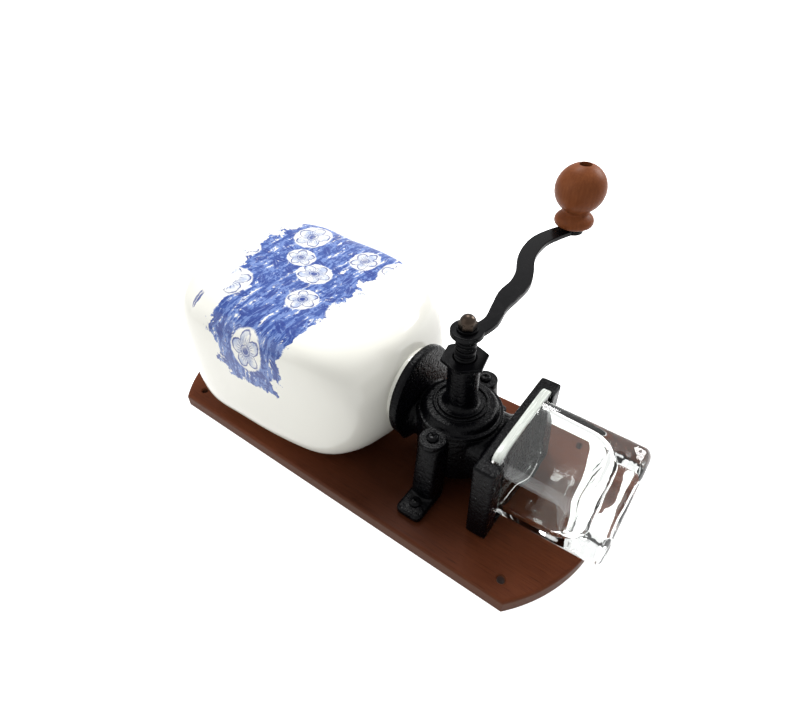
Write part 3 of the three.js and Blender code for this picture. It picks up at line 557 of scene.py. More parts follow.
# %% Blossoms: five round petals with a dark outline, veins and a dark eye
far, angle, chances = motif_cells(36.0, 0.6, 5.0)
size = chances[1] * 3.6 + 9.0
petal_edge = size * (abs((angle * 2.5).then("COSINE")) * 0.42 + 0.58)
petal_line = abs(far - petal_edge).below(0.55, 0.3)
veins = (angle * 25.0).then("COSINE").below(-0.45, 0.3) * far.below(size * 0.62, 1.2)
eye = far.below(size * 0.2, 0.35)
eye_ring = abs(far - size * 0.3).below(0.35, 0.25)
inside_blossom = far.below(petal_edge, 0.25)
blossom_dark = pick("MAXIMUM", petal_line, veins * 0.75, eye, eye_ring)
away_from_blossom = 1.0 - far.below(size * 1.12, 0.6)


# %% Leaves and dots
def leaves(spacing, length, shift):
    """Pointed leaves with a pale middle line, each turned its own way."""
    far, angle, chances = motif_cells(spacing, 0.9, shift)
    along = far * angle.then("COSINE") * (1 / length)
    aside = abs(far * angle.then("SINE"))
    body = aside.below((1.0 - along * along) * (length * 0.36), 0.3)
    return body * (1.0 - aside.below(0.28, 0.2)), chances[2]


large_leaves, leaf_chance = leaves(15.0, 6.6, 31.0)
small_leaves, _ = leaves(8.5, 3.3, 77.0)
dot_middle, _, _ = motif_cells(6.0, 0.8, 53.0)
dots = dot_middle.below(0.8, 0.3)

# %% [markdown]
# The painting runs as a broad band round the front and the left side: blossoms left white in a ground of
# blue brush strokes, with leaves and dots among them. Above it a few loose leaves follow. The band's rims
# are broken by noise, as a brush would leave them. The strokes are one noise, stretched along their slant
# and cut off at a level.

# %% Where the painting lies
past_corner = (-58.0 - round_hopper).then("MAXIMUM", 0.0)
past_middle = (-8.0 - round_hopper).then("MAXIMUM", 0.0)
ragged = (porcelain.noise(0.07, 4.0, 0.65, where=wrap) - 0.5) * 44.0
above_rim = hopper_high - (past_corner * 0.35 + 88.0) + ragged
below_top = past_middle * -0.3 + (past_corner * -0.6 + 186.0) - hopper_high + ragged * 0.35
left_of_rim = ragged * 0.4 + 66.0 - round_hopper
right_of_rim = round_hopper + (ragged * 0.5 + 90.0)
room = pick("MINIMUM", above_rim, below_top, left_of_rim, right_of_rim)
sparse = (room * -1.0).below(0.0, 0.6)
within = sparse * (above_rim - (past_middle * -0.6 + 90.0)).below(0.0, 0.6)

# %% Strokes, washes and the glaze
slant = {"Vector": drawn, "Rotation": (0, 0, 0.5), "Scale": (0.07, 0.34, 1.0)}
strokes = porcelain.noise(1.0, 3.0, 0.6, where=porcelain.add("ShaderNodeMapping", slant)[0])
wash_noise = porcelain.noise(0.16, 4.0, 0.65, where=wrap)
loose_leaves = large_leaves * (sparse * leaf_chance.below(0.3, 0.01))
all_leaves = pick("MAXIMUM", pick("MAXIMUM", large_leaves, small_leaves) * within, loose_leaves)
clear_of_blossom = pick("MAXIMUM", all_leaves, dots * within) * away_from_blossom
dark = pick("MAXIMUM", blossom_dark * within, clear_of_blossom)
ground = strokes.span(0.35, 0.4) * within * away_from_blossom
wash = inside_blossom * wash_noise.span(0.35, 0.65, 0.0, 0.7) * within
porcelain.paint(
    porcelain.noise(18.0, 2.0).blend(colour(247, 246, 236), colour(243, 242, 233)),
    (ground * 0.92, colour(84, 120, 192)),
    (ground * strokes.span(0.49, 0.55), colour(52, 82, 156)),
    (wash, colour(112, 144, 204)),
    (dark * wash_noise.span(0.3, 0.6, 0.6, 1.0), colour(36, 62, 140)),
)
glaze_waves = porcelain.noise(30.0, 2.0)
porcelain.roughen(glaze_waves, 0.1, 0.16)
porcelain.bump(glaze_waves, 0.35, 0.25)
print("finishes:", len(bpy.data.materials))

# %% [markdown]
# ## Board
# The board is cut from 10.5 mm wood: straight sides, a shallow arch at each end, and a rounded front rim.
# Its outline is two arcs, and the plate helper rounds the rims. Four holes take the wall screws, and two
# smaller ones take the screws of the casting's feet.

# %% Board
def place_piece(piece, body, finish, *nodes):
    """Gives a piece its finish and its moving body, and hides the CAD nodes that it stands for."""
    piece.data.materials.clear()
    piece.data.materials.append(finish.material)
    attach(piece, body)
    if nodes:
        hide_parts(*nodes)
    print(f"{piece.name}: {len(piece.data.polygons)} faces")
    return piece


BOTH_SIDES = (-1, 1)
BOARD_FRONT = 10.5
FOOT_SCREW, COVER_SCREW = 50.6, 32.5
SCREW_HOLE = 2.2

half_board, board_low, board_high, arch = 72.7, -75.1, 208.3, 28.3
arch_radius = (half_board ** 2 + arch ** 2) / (2 * arch)
arch_spread = math.degrees(math.asin(half_board / arch_radius))
board_outline = []
for middle, facing in ((board_high + arch - arch_radius, 90), (board_low - arch + arch_radius, 270)):
    board_outline += arc(0, middle, arch_radius, facing - arch_spread, facing + arch_spread, 48)
board = plate("board", board_outline, -6.0, BOARD_FRONT, 2.2, 5)

wall_side = plate("wall side", rectangle(-100, 100, -150, 260), -20, 0)
wall_hole = [(0, -5), (2.45, -5), (2.45, 9.4), (3.2, 10.6), (3.2, 20), (0, 20)]
wall_holes = [turned("wall hole", wall_hole, x, y, 48) for x in (-60.7, 60.7) for y in (-67.7, 200.9)]
foot_holes = [rod("foot hole", SCREW_HOLE, 3.4, 20, side * FOOT_SCREW, count=32) for side in BOTH_SIDES]
combine(board, "DIFFERENCE", wall_side, *wall_holes, *foot_holes)
place_piece(smooth(board, 30), "wall_unit", board_wood, "backboard")

# %% [markdown]
# ## Casting
# The casting is one piece of iron: a barrel for the burrs, two legs with feet, the cup under the hopper,
# and a neck that spreads into the frame for the jar. Where its forms meet, a mould leaves soft fillets.
# They could be modelled edge by edge, but here the plain forms are joined, the hollows are cut, and a voxel
# remesh with some smoothing rounds every edge and corner by about the same amount, as sand casting does.

# %% Barrel and legs
BARREL_RADIUS, BARREL_BACK, BARREL_FRONT = 27.7, 20.9, 58.3
casting = turned("casting", [
    (0, 11.6), (13.0, 11.6, 1.2), (13.0, BARREL_BACK), (BARREL_RADIUS, BARREL_BACK, 2.4),
    (BARREL_RADIUS, BARREL_FRONT, 0.6), (0, BARREL_FRONT),
], count=128)


def leg_with_foot(side):
    """A leg that gets squarer and leans outward towards the board, on its foot plate."""
    column = []
    for share in shares(12):
        middle, out = side * (COVER_SCREW + 4.1 * share), BARREL_FRONT - 47.5 * share
        square = through([2.3, 3.0, 3.7, 4.4, 4.5], share)
        ring = oval(0, 8.3 + 1.1 * share, 8.3, 0, square, 64)
        column.append([(middle + across, up, out) for across, _, up in ring])
    foot_end, half_foot, round_end = 60.6, 9.2, 4.6
    foot = rounded([(COVER_SCREW, -half_foot), (foot_end, -half_foot, round_end),
                    (foot_end, half_foot, round_end), (COVER_SCREW, half_foot)], steps=10)
    foot_plate = plate("foot", [(side * x, y) for x, y in foot], 10.8, 16.0, 1.2)
    return combine(skin_over("leg", column), "UNION", foot_plate)


# %% Cup, stem, neck and jar frame
CUP_MIDDLE, CUP_BOTTOM = 59.5, 28.3


def cup_ring(up, radius, count=96):
    """A round ring about the cup's upright axis, which the hopper shares."""
    return oval(up, radius, radius, CUP_MIDDLE, 2, count)


cup = skin_over("cup", rings_of(cup_ring, (CUP_BOTTOM, 31.2), (29.5, 32.4), (33.4, 32.4), (34.6, 31.2)))
stem_rings = [oval(0, 12, 9, 45.7, 2.6)]
for rise, flare in quarter(8):
    up = CUP_BOTTOM * (0.4 + 0.6 * rise) + (1.2 if rise == 1 else 0)
    half_out = 9 + 3.6 * (1 + flare)
    stem_rings.append(oval(up, 15.6 + 16.8 * 0.7 * flare, half_out, BARREL_FRONT - half_out, 2.6))
stem = skin_over("stem", stem_rings)

neck_curve = [(-26 - 8 * rise, flare) for rise, flare in quarter(9)]
neck_rings = []
for up, flare in [(0, 0), (-15.6, 0), *neck_curve, (-36.7, 1.0)]:
    back, front = BARREL_BACK - 8.2 * flare, 57.1 + 11.4 * flare
    neck_rings.append(oval(up, 21.6 + 19.1 * flare, (front - back) / 2, (front + back) / 2, 5))
neck = skin_over("neck", neck_rings)
frame_outline = rounded([(x, y, 2.0) for x, y in rectangle(-45.5, 45.5, -47.8, -34)])
jar_frame = plate("jar frame", frame_outline, 10.8, 72.5, 0.8)
legs = [leg_with_foot(side) for side in BOTH_SIDES]
combine(casting, "UNION", *legs, stem, cup, neck, jar_frame)


# %% Hollows of the casting
def well(name, low, high, half_across, half_out, middle, square=2.0):
    """An upright hollow with one section all the way."""
    return skin_over(name, [oval(up, half_across, half_out, middle, square) for up in (low, high)])


burr_seat, burr_room, room_back = 18.6, 21.8, 27
bore = turned("bore", [(0, 22.5), (burr_seat, 22.5), (burr_seat, room_back), (burr_room, room_back),
                       (burr_room, 62), (0, 62)])
bush_seat = rod("bush seat", 5.85, 13.2, 26)
cup_hollow = well("cup hollow", 29.6, 38, 28.8, 28.8, CUP_MIDDLE)
throat = well("throat", 11, 30.8, 12, 9, 45.7, 2.6)
chute = well("chute", -44, 0, 12, 4, 26.5, 6)
half_bay, half_groove, opening_top, opening_back = 32.0, 35.55, -39.4, 12.7
bay = plate("bay", rectangle(-half_bay, half_bay, -52, opening_top), opening_back, 80)
groove = plate("groove", rectangle(-half_groove, half_groove, -45.75, opening_top), opening_back, 80)
screw_holes = [rod("screw hole", SCREW_HOLE, back, front, side * across, count=32)
               for back, front, across in ((46, 62, COVER_SCREW), (5, 22, FOOT_SCREW))
               for side in BOTH_SIDES]
combine(casting, "DIFFERENCE", bore, bush_seat, cup_hollow, throat, chute, bay, groove, *screw_holes)

# %% Soft edges from the mould
remesh = casting.modifiers.new("remesh", "REMESH")
remesh.mode = "VOXEL"
remesh.voxel_size = 0.8 * MM
soften = casting.modifiers.new("soften", "SMOOTH")
soften.factor = 0.5
soften.iterations = 5
thin = casting.modifiers.new("thin", "DECIMATE")
thin.ratio = 0.55
settle(casting)
casting.data.shade_smooth()
place_piece(casting, "wall_unit", cast_paint, "grinder_body")

# %% [markdown]
# ## Front cover
# The cover closes the barrel. On a lathe it gets a low dome with two raised rings and a long hub for the
# spindle, and an ear on each side takes its screw. A profile turned round the axis is the natural way to
# make it, because the rings stay sharp, and the ears are joined on.

# %% Front cover
cover_back, rim_front, ring_low, ring_high = 58.6, 61.6, 66.0, 67.8
cover_bore, hub_front = 8.55, 100.0
cover_profile = [
    (cover_bore, cover_back), (BARREL_RADIUS, cover_back, 0.5), (BARREL_RADIUS, rim_front, 0.9),
    (25.2, rim_front, 1.0), (23.7, 65.0, 1.4), (21.9, ring_low, 1.2),
    (18.0, ring_low, 0.5), (18.0, ring_high, 0.6), (16.5, ring_high, 0.6), (16.5, ring_low, 0.5),
    (15.0, ring_low, 0.5), (15.0, ring_high, 0.6), (12.6, ring_high, 0.8),
    (10.8, 68.6, 1.2), (10.0, 70.8, 0.8), (10.0, 98.8, 0.4), (9.4, hub_front, 0.4), (cover_bore, hub_front),
]
cover = turned("front_cover_cast", cover_profile, count=128)
for side in BOTH_SIDES:
    ear_outline = arc(side * COVER_SCREW, 0, 8.6, 0, 352.5, 47)
    ear = plate("ear", ear_outline, cover_back, rim_front, 0.6)
    combine(ear, "DIFFERENCE", rod("ear bore", 24, 50, 70, count=96),
            rod("ear hole", SCREW_HOLE, 50, 70, side * COVER_SCREW, count=32))
    combine(cover, "UNION", ear)
place_piece(smooth(cover, 34), "wall_unit", cast_paint, "front_cover")

# %% [markdown]
# ## Screws
# Six cross head screws hold the feet, the cover and the hopper. One screw is modelled, and Geometry Nodes
# set a copy on each point of a small mesh, turned by a value that each point stores. That is the usual way
# for hardware: a change to the one screw changes them all.

# %% One screw
one_screw = turned("one screw", [(0, -8), (0.8, -8), (1.9, -6), (1.9, 0), (3.9, 0, 0.2), (3.9, 1.0, 0.6),
                                 (2.9, 2.2, 0.8), (0, 2.4)], count=40)
for wide, thin in ((2.1, 0.55), (0.55, 2.1)):
    floor_and_mouth = []
    for out, grown in ((0.7, 0.55), (3.0, 1.05)):
        outline = rectangle(-wide * grown, wide * grown, -thin * grown, thin * grown)
        floor_and_mouth.append([(x, y, out) for x, y in outline])
    combine(one_screw, "DIFFERENCE", skin_over("slot", floor_and_mouth))
smooth(one_screw, 30)


# %% Growing a piece with Geometry Nodes
def grow(carrier, finish, middle, inputs):
    """Runs a tree with named inputs on a carrier and leaves a plain mesh. middle adds its main nodes."""
    tree = bpy.data.node_groups.new(carrier.name, "GeometryNodeTree")
    for way in ("INPUT", "OUTPUT"):
        tree.interface.new_socket("Geometry", in_out=way, socket_type="NodeSocketGeometry")
    names = {}
    for label, value in inputs.items():
        kind = {int: "NodeSocketInt", float: "NodeSocketFloat"}.get(type(value), "NodeSocketObject")
        names[label] = tree.interface.new_socket(label, in_out="INPUT", socket_type=kind).identifier
    result = middle(tree, add_node(tree, "NodeGroupInput"))
    real = add_node(tree, "GeometryNodeRealizeInstances", {0: result})[0]
    painted = add_node(tree, "GeometryNodeSetMaterial", {"Geometry": real, "Material": finish.material})[0]
    add_node(tree, "NodeGroupOutput", {0: painted})
    grower = carrier.modifiers.new(tree.name, "NODES")
    grower.node_group = tree
    for label, value in inputs.items():
        grower[names[label]] = value
    carrier.update_tag()
    return settle(carrier)


# %% A screw on every point
def screws_on_points(tree, given):
    """A copy of the screw on each point, turned by the value that the point stores."""
    screw = add_node(tree, "GeometryNodeObjectInfo", {"Object": given["Screw"]})["Geometry"]
    turn = add_node(tree, "GeometryNodeInputNamedAttribute", {"Name": "turn"}, data_type="FLOAT_VECTOR")
    values = {"Points": given["Geometry"], "Instance": screw, "Rotation": turn["Attribute"]}
    return add_node(tree, "GeometryNodeInstanceOnPoints", values)["Instances"]


# Where each head sits, which way it leans back from the wall, and how far its slots are turned.
screw_seats = [
    ((-FOOT_SCREW, 0, 16.3), 0, 12), ((FOOT_SCREW, 0, 16.3), 0, 55),
    ((-COVER_SCREW, 0, 61.9), 0, 38), ((COVER_SCREW, 0, 61.9), 0, 70),
    ((-18.2, 36.4, CUP_MIDDLE), 90, 20), ((18.2, 36.4, CUP_MIDDLE), 90, 64),
]
screws = make_piece("screws", [seat for seat, _, _ in screw_seats], [])
turn_values = screws.data.attributes.new("turn", "FLOAT_VECTOR", "POINT")
for i, (seat, lean, twist) in enumerate(screw_seats):
    turn_values.data[i].vector = (math.radians(-lean), math.radians(twist) if lean == 0 else 0.0, 0.0)
grow(screws, black_steel, screws_on_points, {"Screw": one_screw})
bpy.data.objects.remove(one_screw)
place_piece(screws, "wall_unit", black_steel, "foot_screw_left", "foot_screw_right",
            "cover_screw_left", "cover_screw_right", "hopper_screw_left", "hopper_screw_right")

# %% [markdown]
# ## Spindle and adjusting nut
# The spindle carries the inner burr and the crank. Between the nut and the crank its coarse thread shows. A
# thread follows a helix, so Geometry Nodes draw one: a spiral curve swept by a small section, with the
# number of turns, radius and height as inputs. The same nodes wind the thrust spring.

# %% Spindle
spindle = turned("spindle_shaft", [
    (0, 15.3), (3.8, 15.3, 0.4), (3.8, 25.8), (5.0, 25.8), (5.0, 50.2), (6.5, 50.2, 0.4), (6.5, 104.6, 0.3),
    (5.75, 105.2, 0.3), (5.75, 119.7, 0.3), (6.5, 120.3, 0.2), (6.5, 121.0, 0.4), (0, 121.0),
])
half_square = 4.3
square_end = plate("square end", rectangle(-half_square, half_square, -half_square, half_square),
                   120.4, 124.6, 0.3)
stud = turned("stud", [(0, 123.5), (2.9, 123.5), (2.9, 131.9, 0.5), (0, 131.9)], count=48)
combine(spindle, "UNION", square_end, stud)
place_piece(smooth(spindle, 34), "drive", black_steel, "spindle")

# %% Thread and thrust spring
def helix(tree, given):
    """A spiral up the Z axis, swept by a small round or pointed section."""
    spiral = add_node(tree, "GeometryNodeCurveSpiral", {
        "Rotations": given["Turns"], "Start Radius": given["Radius"], "End Radius": given["Radius"],
        "Height": given["Height"], "Resolution": given["Steps"]})["Curve"]
    section = add_node(tree, "GeometryNodeCurvePrimitiveCircle", {
        "Radius": given["Section radius"], "Resolution": given["Section sides"]})["Curve"]
    values = {"Curve": spiral, "Profile Curve": section, "Fill Caps": True}
    return add_node(tree, "GeometryNodeCurveToMesh", values)["Mesh"]


def wind(name, finish, start, sizes):
    """Winds a helix and lays it on to the spindle, from a distance to the wall outwards."""
    piece = grow(make_piece(name, [(0, 0, 0)], []), finish, helix, sizes)
    piece.data.transform(Matrix.Translation((0, -start * MM, 0)) @ Matrix.Rotation(math.pi / 2, 4, "X"))
    return piece


thread = wind("spindle_thread", black_steel, 105.7, {
    "Turns": 6.8, "Radius": 5.75 * MM, "Height": 13.6 * MM, "Section radius": 0.7 * MM, "Section sides": 6,
    "Steps": 48})
place_piece(smooth(thread, 50, False), "drive", black_steel)
spring = wind("thrust_spring_wire", burr_steel, 53.2, {
    "Turns": 3.0, "Radius": 9.4 * MM, "Height": 4.2 * MM, "Section radius": 0.78 * MM, "Section sides": 12,
    "Steps": 40})
place_piece(smooth(spring, 60, False), "wall_unit", burr_steel, "thrust_spring")

# %% Adjusting nut and thrust washer
nut_corner, nut_turn = 14.9, math.degrees(-0.826)
nut = plate("adjusting_nut_hex", hexagon(nut_corner, nut_turn), 102.1, 104.35, 0.25, 2)
corner_cone = turned("corner cone", [(0, 90), (20, 90), (nut_corner, 103.6), (13.4, 104.4), (0, 104.4)])
combine(nut, "INTERSECT", corner_cone)
nut_hole = [(0, 95), (6.85, 95), (6.85, 103.6), (7.8, 104.6), (7.8, 110), (0, 110)]
combine(nut, "DIFFERENCE", turned("nut hole", nut_hole, count=64))
place_piece(smooth(nut, 30), "setting_nut", black_steel, "adjusting_nut")
thrust_washer = washer("thrust_washer_ring", 6.85, 10.0, 100.3, 101.5)
place_piece(smooth(thrust_washer), "thrust_collar", bronze, "thrust_washer")

# %% [markdown]
# ## Crank
# The crank is cut from flat bar and bent to a shallow S, with a round eye at each end. A smooth curve is
# run through eleven chosen points, and the width changes along it. The outline is cut as a plate with soft
# rims, which keeps the flat of the bar truly flat.

# %% Crank arm
arm_back, arm_front, half_arm = 121.3, 124.9, 6.2
bend_shares = [(0, -0.024), (0.1, -0.045), (0.2, -0.028), (0.3, -0.018), (0.4, -0.018), (0.49, 0.005),
               (0.6, 0.051), (0.7, 0.072), (0.8, 0.073), (0.9, 0.044), (1, 0)]
width_shares = [0.8, 0.74, 0.8, 1.08, 1.05, 0.96, 0.96, 1.0, 1.02, 1.0, 0.9]


def arm_middle(t):
    """A point of the arm's middle line, for t from 0 at the spindle to 1 at the knob."""
    t = min(max(t, 0), 1)
    return Vector([through(shares, t) * CRANK_REACH for shares in zip(*bend_shares)])


upper, lower = [], []
for t in shares(96):
    along = (arm_middle(t + 0.004) - arm_middle(t - 0.004)).normalized()
    across = Vector((-along.y, along.x)) * (half_arm * through(width_shares, t))
    upper.append(tuple(arm_middle(t) + across))
    lower.insert(0, tuple(arm_middle(t) - across))
arm = plate("crank_arm_bar", upper + lower, arm_back, arm_front, 0.6)
eye = rod("eye", 10.0, arm_back, arm_front, edge=0.6, count=96)
knob_eye = rod("knob eye", 8.2, arm_back, arm_front, CRANK_REACH, 0.6, 80)
combine(arm, "UNION", eye, knob_eye)
half_hole = half_square + 0.35
square_hole = plate("square hole", rectangle(-half_hole, half_hole, -half_hole, half_hole), 110, 130)
pin_hole = rod("pin hole", 3.25, 110, 130, CRANK_REACH)
combine(arm, "DIFFERENCE", square_hole, pin_hole)
place_piece(smooth(arm, 30), "drive", black_steel, "crank_arm")

# %% [markdown]
# A dark bronze dome nut with a washer holds the crank on the square end of the spindle. Its hexagon has
# rounded corners, and the dome above is a half ball.

# %% Dome nut and its washer
washer_back, washer_front, stud_hole = 125.2, 126.4, 3.25
crank_washer = washer("crank_washer_ring", stud_hole, 6.3, washer_back, washer_front)
place_piece(smooth(crank_washer), "drive", black_steel, "crank_washer")
dome_base, dome_radius, dome_height = 130.1, 4.8, 4.7
dome_nut = plate("dome_nut_cap", hexagon(5.54), 126.7, dome_base, 0.3)
dome = [(0, 126.9), (4.75, 126.9), (dome_radius, 129.7)]
for degrees in range(0, 90, 6):
    lean = math.radians(degrees)
    dome.append((dome_radius * math.cos(lean), dome_base + dome_height * math.sin(lean)))
combine(dome_nut, "UNION", turned("dome", dome + [(0, dome_base + dome_height)], count=64))
combine(dome_nut, "DIFFERENCE", rod("stud hole", stud_hole, 120, 132.2))
place_piece(smooth(dome_nut, 32), "drive", bronze, "dome_nut")

# %% [markdown]
# ## Knob
# The knob is turned from one piece of wood: a flange, a waist and a ball with a small recess for the rivet
# that it spins on. Its profile is a smooth curve through chosen points, an arc for the ball and a few
# straight cuts for the recess, turned round the rivet's axis.

# %% Knob
knob_back, knob_length, ball_radius, knob_bore = 126.7, 45.6, 17.99, 3.25
flange_radius, waist_radius, recess_radius = 14.2, 9.5, 4.6
flange_and_waist = [(11.2, 0), (13.2, 0.9), (flange_radius, 2.8), (flange_radius, 4.4), (13.3, 6.6),
                    (11.3, 8.7), (9.6, 10.2), (9.1, 11.2)]
radii, heights = zip(*flange_and_waist)
knob_profile = [(knob_bore, knob_back)]
for t in shares(28):
    knob_profile.append((min(through(radii, t), flange_radius), knob_back + max(through(heights, t), 0)))
low_turn = -math.degrees(math.acos(waist_radius / ball_radius))
high_turn = math.degrees(math.acos(recess_radius / ball_radius))
knob_profile += arc(0, knob_back + knob_length - ball_radius, ball_radius, low_turn, high_turn, 32)
rim = knob_profile[-1][1]
knob_profile += [(4.45, rim - 0.1), (4.4, rim - 3.9, 0.3), (knob_bore, rim - 3.9)]
knob = turned("knob_turned", knob_profile, CRANK_REACH)
place_piece(smooth(knob, 40), "hand_knob", knob_wood, "knob")

# %% Rivet and knob washer
knob_washer = washer("knob_washer_ring", knob_bore, 6.5, washer_back, washer_front, CRANK_REACH)
place_piece(smooth(knob_washer), "drive", black_steel, "knob_washer")
head = rim - 3.6
rivet = turned("knob_rivet", [
    (0, 120.0), (2.9, 120.0, 0.3), (4.0, 120.6, 0.4), (4.0, 121.0), (2.9, 121.0), (2.9, head),
    (3.9, head, 0.2), (3.0, head + 1.0, 0.5), (0, head + 1.0),
], CRANK_REACH, 0, 48)
place_piece(smooth(rivet), "drive", black_steel, "knob_pin")

# %% [markdown]
# ## Hopper
# The hopper grows from a round neck to a wide, almost rectangular body and closes again towards its mouth,
# all in soft curves. Nine rings carry its form: each has a height, two half widths, a middle and how square
# it is. A smooth curve through these numbers gives every ring between. The inner wall follows the same
# curve, drawn in square to the outer wall, as a casting in a plaster mould has an even wall.

# %% Hopper body
FINE = 144
mouth_up, mouth_across, mouth_out, mouth_middle = 212, 47, 36, 62
hopper_rows = [(38.7, 27.6, 27.6, CUP_MIDDLE, 2), (43.5, 47, 38.5, 61, 2), (55, 57, 44.5, 61.8, 3.9),
               (76, 64, 48.5, 63, 7), (105, 68.5, 50.5, 64, 7), (140, 71.8, 52, 64.5, 5.5),
               (172, 72.4, 54, 66, 4.8), (195, 62.5, 54.5, 67, 3),
               (mouth_up, mouth_across, mouth_out, mouth_middle, 2)]
hopper_columns = list(zip(*hopper_rows))


def hopper_ring(way, wall=0.0):
    """A ring part of the way up the hopper's curve, drawn in by the wall's thickness."""
    up, across, out, middle, square = (through(column, way) for column in hopper_columns)
    ends = max(0.0, way - 0.001), min(1.0, way + 0.001)
    rise, widen_across, widen_out = (through(column, ends[1]) - through(column, ends[0])
                                     for column in hopper_columns[:3])
    widen = (widen_across + widen_out) / 2
    length = math.hypot(rise, widen)
    inset, lift = wall * rise / length, wall * widen / length
    return oval(up + lift, across - inset, out - inset, middle, square, FINE)


def mouth_ring(up, inset, share=1.0):
    """A ring in the mouth's shape, drawn in by an inset and then shrunk to a share of its size."""
    return oval(up, (mouth_across - inset) * share, (mouth_out - inset) * share, mouth_middle, 2, FINE)


wall = 4.6
outer = [hopper_ring(way) for way in shares(80)[:-1]]
inner = [hopper_ring(way, wall) for way in shares(56)]
rim_rings = rings_of(mouth_ring, (211.7, -0.1), (mouth_up, 0.5), (mouth_up, 2.7), (211.7, 3.15))
floor_rows = [(36.6, 23), (36.1, 22.4), (36.1, 13), (31.7, 13), (31.7, 26.6), (32.3, 27.3), (33.2, 27.6)]
floor_rings = [cup_ring(up, radius, FINE) for up, radius in floor_rows]
hopper = skin_over("hopper_body", outer + rim_rings + inner[::-1] + floor_rings, loop=True)
place_piece(smooth(hopper, 40, False), "wall_unit", porcelain, "hopper")

low, high, inner_radius, outer_radius = 29.95, 31.35, 13.1, 27.2
section = [(low, outer_radius), (high, outer_radius), (high, inner_radius), (low, inner_radius)]
gasket = skin_over("hopper_gasket_ring", rings_of(cup_ring, *section), loop=True)
place_piece(smooth(gasket), "wall_unit", rubber, "hopper_gasket")

# %% [markdown]
# ## Lid
# The lid closes the mouth with a low dome that carries on the hopper's curve. It rests on a rubber ring,
# which shows as a thin dark line, and a skirt below keeps it from sliding off.

# %% Lid and seal
lid_base, lid_height, lid_wall, lid_inset = 214.0, 8.0, 3.6, 8.6
closing = 0.999
dome_rings = [mouth_ring(lid_base + 0.4 + (lid_height - 0.4) * rise, 0.0, 1 - closing * lean)
              for rise, lean in quarter(16)]
under_rings = [mouth_ring(lid_base - lid_wall + lid_height * rise, lid_inset, 1 - closing * lean)
               for rise, lean in reversed(quarter(12))]
skirt_rings = rings_of(mouth_ring, (209.0, lid_inset), (209.0, 5.1), (lid_base, 5.1), (lid_base, 0.6))
lid = skin_over("lid_dome", under_rings + skirt_rings + dome_rings)
place_piece(smooth(lid, 40, False), "hopper_lid", porcelain, "lid")
seal_rows = [(212.3, 0.6), (212.6, 0.3), (213.4, 0.3), (213.7, 0.6), (213.7, 3.6), (212.3, 3.6)]
seal = skin_over("lid_seal_ring", rings_of(mouth_ring, *seal_rows), loop=True)
place_piece(smooth(seal, 50, False), "wall_unit", rubber, "lid_seal")

# %% [markdown]
# ## Jar
# The jar is pressed glass: a square body with thick walls, an even thicker bottom and a flat lip that
# slides in the frame's grooves. The body is one closed skin that runs up the outside, round the lip and
# down the inside, because glass only bends light rightly when its body is closed.

# %% Glass jar
def jar_ring(up, inset, square=5.5):
    return oval(up, 31.0 - inset, 30.2 - inset, 44.6, square, FINE)


def lip_ring(up, inset):
    return oval(up, 35.2 - inset, 31.7 - inset, 44.9, 11.0, FINE)


jar_bottom, lip_top, lip_height = -112.0, -40.05, 5.4
lip_low = lip_top - lip_height
heel = [jar_ring(jar_bottom + 5.6 * lean, 0.8 + 5.7 * (1 - rise)) for rise, lean in quarter(8)[1:]]
bottom = rings_of(jar_ring, (jar_bottom, 22.0), (jar_bottom, 6.5)) + heel
wall = rings_of(jar_ring, (-80.0, 0.45), (lip_low - 1.4, 0.05), (lip_low - 0.4, -0.3, 6.5))
lip = rings_of(lip_ring, (lip_low, 1.8), (lip_low, 0.7), (lip_low + 0.25, 0.2), (lip_low + 0.8, 0),
               (lip_top - 0.8, 0), (lip_top - 0.25, 0.2), (lip_top, 0.7))
inside = rings_of(jar_ring, (lip_top, 3.6), (lip_top - 0.3, 4.1), (lip_top - 1.0, 4.4), (-60, 5.8))
bowl = [jar_ring(-78.0 - 20.0 * rise, 6.5 + 15.0 * lean, 5.5 - 2.3 * rise) for rise, lean in quarter(10)]
floor_middle = jar_ring(-98.2, 24.0, 3.0)
jar = skin_over("glass_jar_pressed", bottom + wall + lip + inside + bowl + [floor_middle])
place_piece(smooth(jar, 50, False), "jar", jar_glass, "glass_jar")

# %% [markdown]
# ## Pieces kept from the CAD model
# The burrs, the bearings and the spring's washer already have their real shape in the CAD model and sit
# inside the casting and its cover. They keep their meshes and only get their finishes.

# %% Finishes for the inner pieces
for name, finish in {"inner_burr": burr_steel, "ring_burr": burr_steel, "spring_washer": burr_steel,
                     "cover_bush": bronze, "rear_bush": bronze}.items():
    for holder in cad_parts[name].material_slots:
        holder.material = finish.material
    print(f"{name} keeps its CAD mesh")

# %% [markdown]
# ## Studio
# The photograph shows the grinder lying on a white table. In the CAD frame the table is the plane behind
# the board, so that plane gets a pale diffuse colour plus a white glow that only the camera, mirrors and
# glass see. The grinder's shadow still falls on it. From behind, the plane is clear, so the back can be
# looked at.

# %% White table
def seen_directly(tree):
    """1 for what the camera sees, also by mirrors and through glass, and 0 for light on other things."""
    ray = add_node(tree, "ShaderNodeLightPath")
    kinds = ("Is Camera Ray", "Is Glossy Ray", "Is Transmission Ray")
    return pick("MAXIMUM", *(Number(tree, ray[kind]) for kind in kinds))


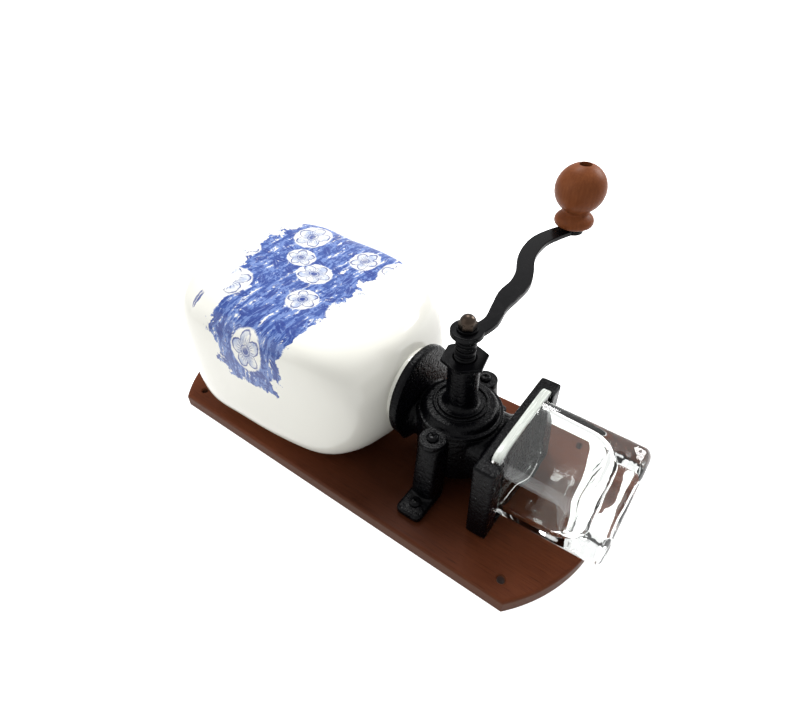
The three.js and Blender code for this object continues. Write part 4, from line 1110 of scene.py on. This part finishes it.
table_half, table_level = 4000.0, -0.6
corners = [at(x, y, table_level) for x, y in rectangle(-table_half, table_half, -table_half, table_half)]
table_top = bpy.data.meshes.new("white_table")
table_top.from_pydata(corners, [], [(0, 1, 2, 3)])
table_paint = bpy.data.materials.new("white_table")
table_paint.use_nodes = True
tree = table_paint.node_tree
tree.nodes.clear()
matt = add_node(tree, "ShaderNodeBsdfDiffuse", {"Color": (0.8, 0.8, 0.8, 1)})[0]
glow = add_node(tree, "ShaderNodeEmission", {"Strength": seen_directly(tree) * 0.95})[0]
both = add_node(tree, "ShaderNodeAddShader", {0: matt, 1: glow})[0]
clear = add_node(tree, "ShaderNodeBsdfTransparent")[0]
from_behind = add_node(tree, "ShaderNodeNewGeometry")["Backfacing"]
one_sided = add_node(tree, "ShaderNodeMixShader", {0: from_behind, 1: both, 2: clear})[0]
add_node(tree, "ShaderNodeOutputMaterial", {"Surface": one_sided})
table_top.materials.append(table_paint)
table = add_object("white_table", table_top)

# %% [markdown]
# ## Light
# Product photographs of dark metal and glossy porcelain use soft lamps, whose reflections draw the edges.
# One lamp hangs over the table towards its right, a second stands low on the right, a wider and weaker one
# stands on the left, and the world fills the shadows with an even white.

# %% Lamps and world
def soft_lamp(name, place, aim, size, power):
    lamp = bpy.data.lights.new(name, "AREA")
    lamp.shape = "RECTANGLE"
    lamp.size = lamp.size_y = size
    lamp.energy = power
    holder = add_object(name, lamp)
    holder.location = place
    holder.rotation_euler = (Vector(aim) - Vector(place)).to_track_quat("-Z", "Y").to_euler()


soft_lamp("overhead", (0.45, -1.0, 0.35), (0, 0, 0.05), 0.35, 6.4)
soft_lamp("right_side", (0.9, -0.62, -0.35), (0, -0.05, 0.0), 0.4, 7.0)
soft_lamp("left_side", (-0.55, -0.45, 0.55), (0, -0.05, 0.12), 0.7, 2.0)

world = bpy.data.worlds.new("white_room")
bpy.context.scene.world = world
world.use_nodes = True
background = world.node_tree.nodes["Background"].inputs
background["Color"].default_value = (1, 1, 1, 1)
brightness = seen_directly(world.node_tree).span(0.0, 1.0, 0.55, 1.0)
world.node_tree.links.new(brightness.socket, background["Strength"])
bpy.context.scene.view_settings.view_transform = "Standard"
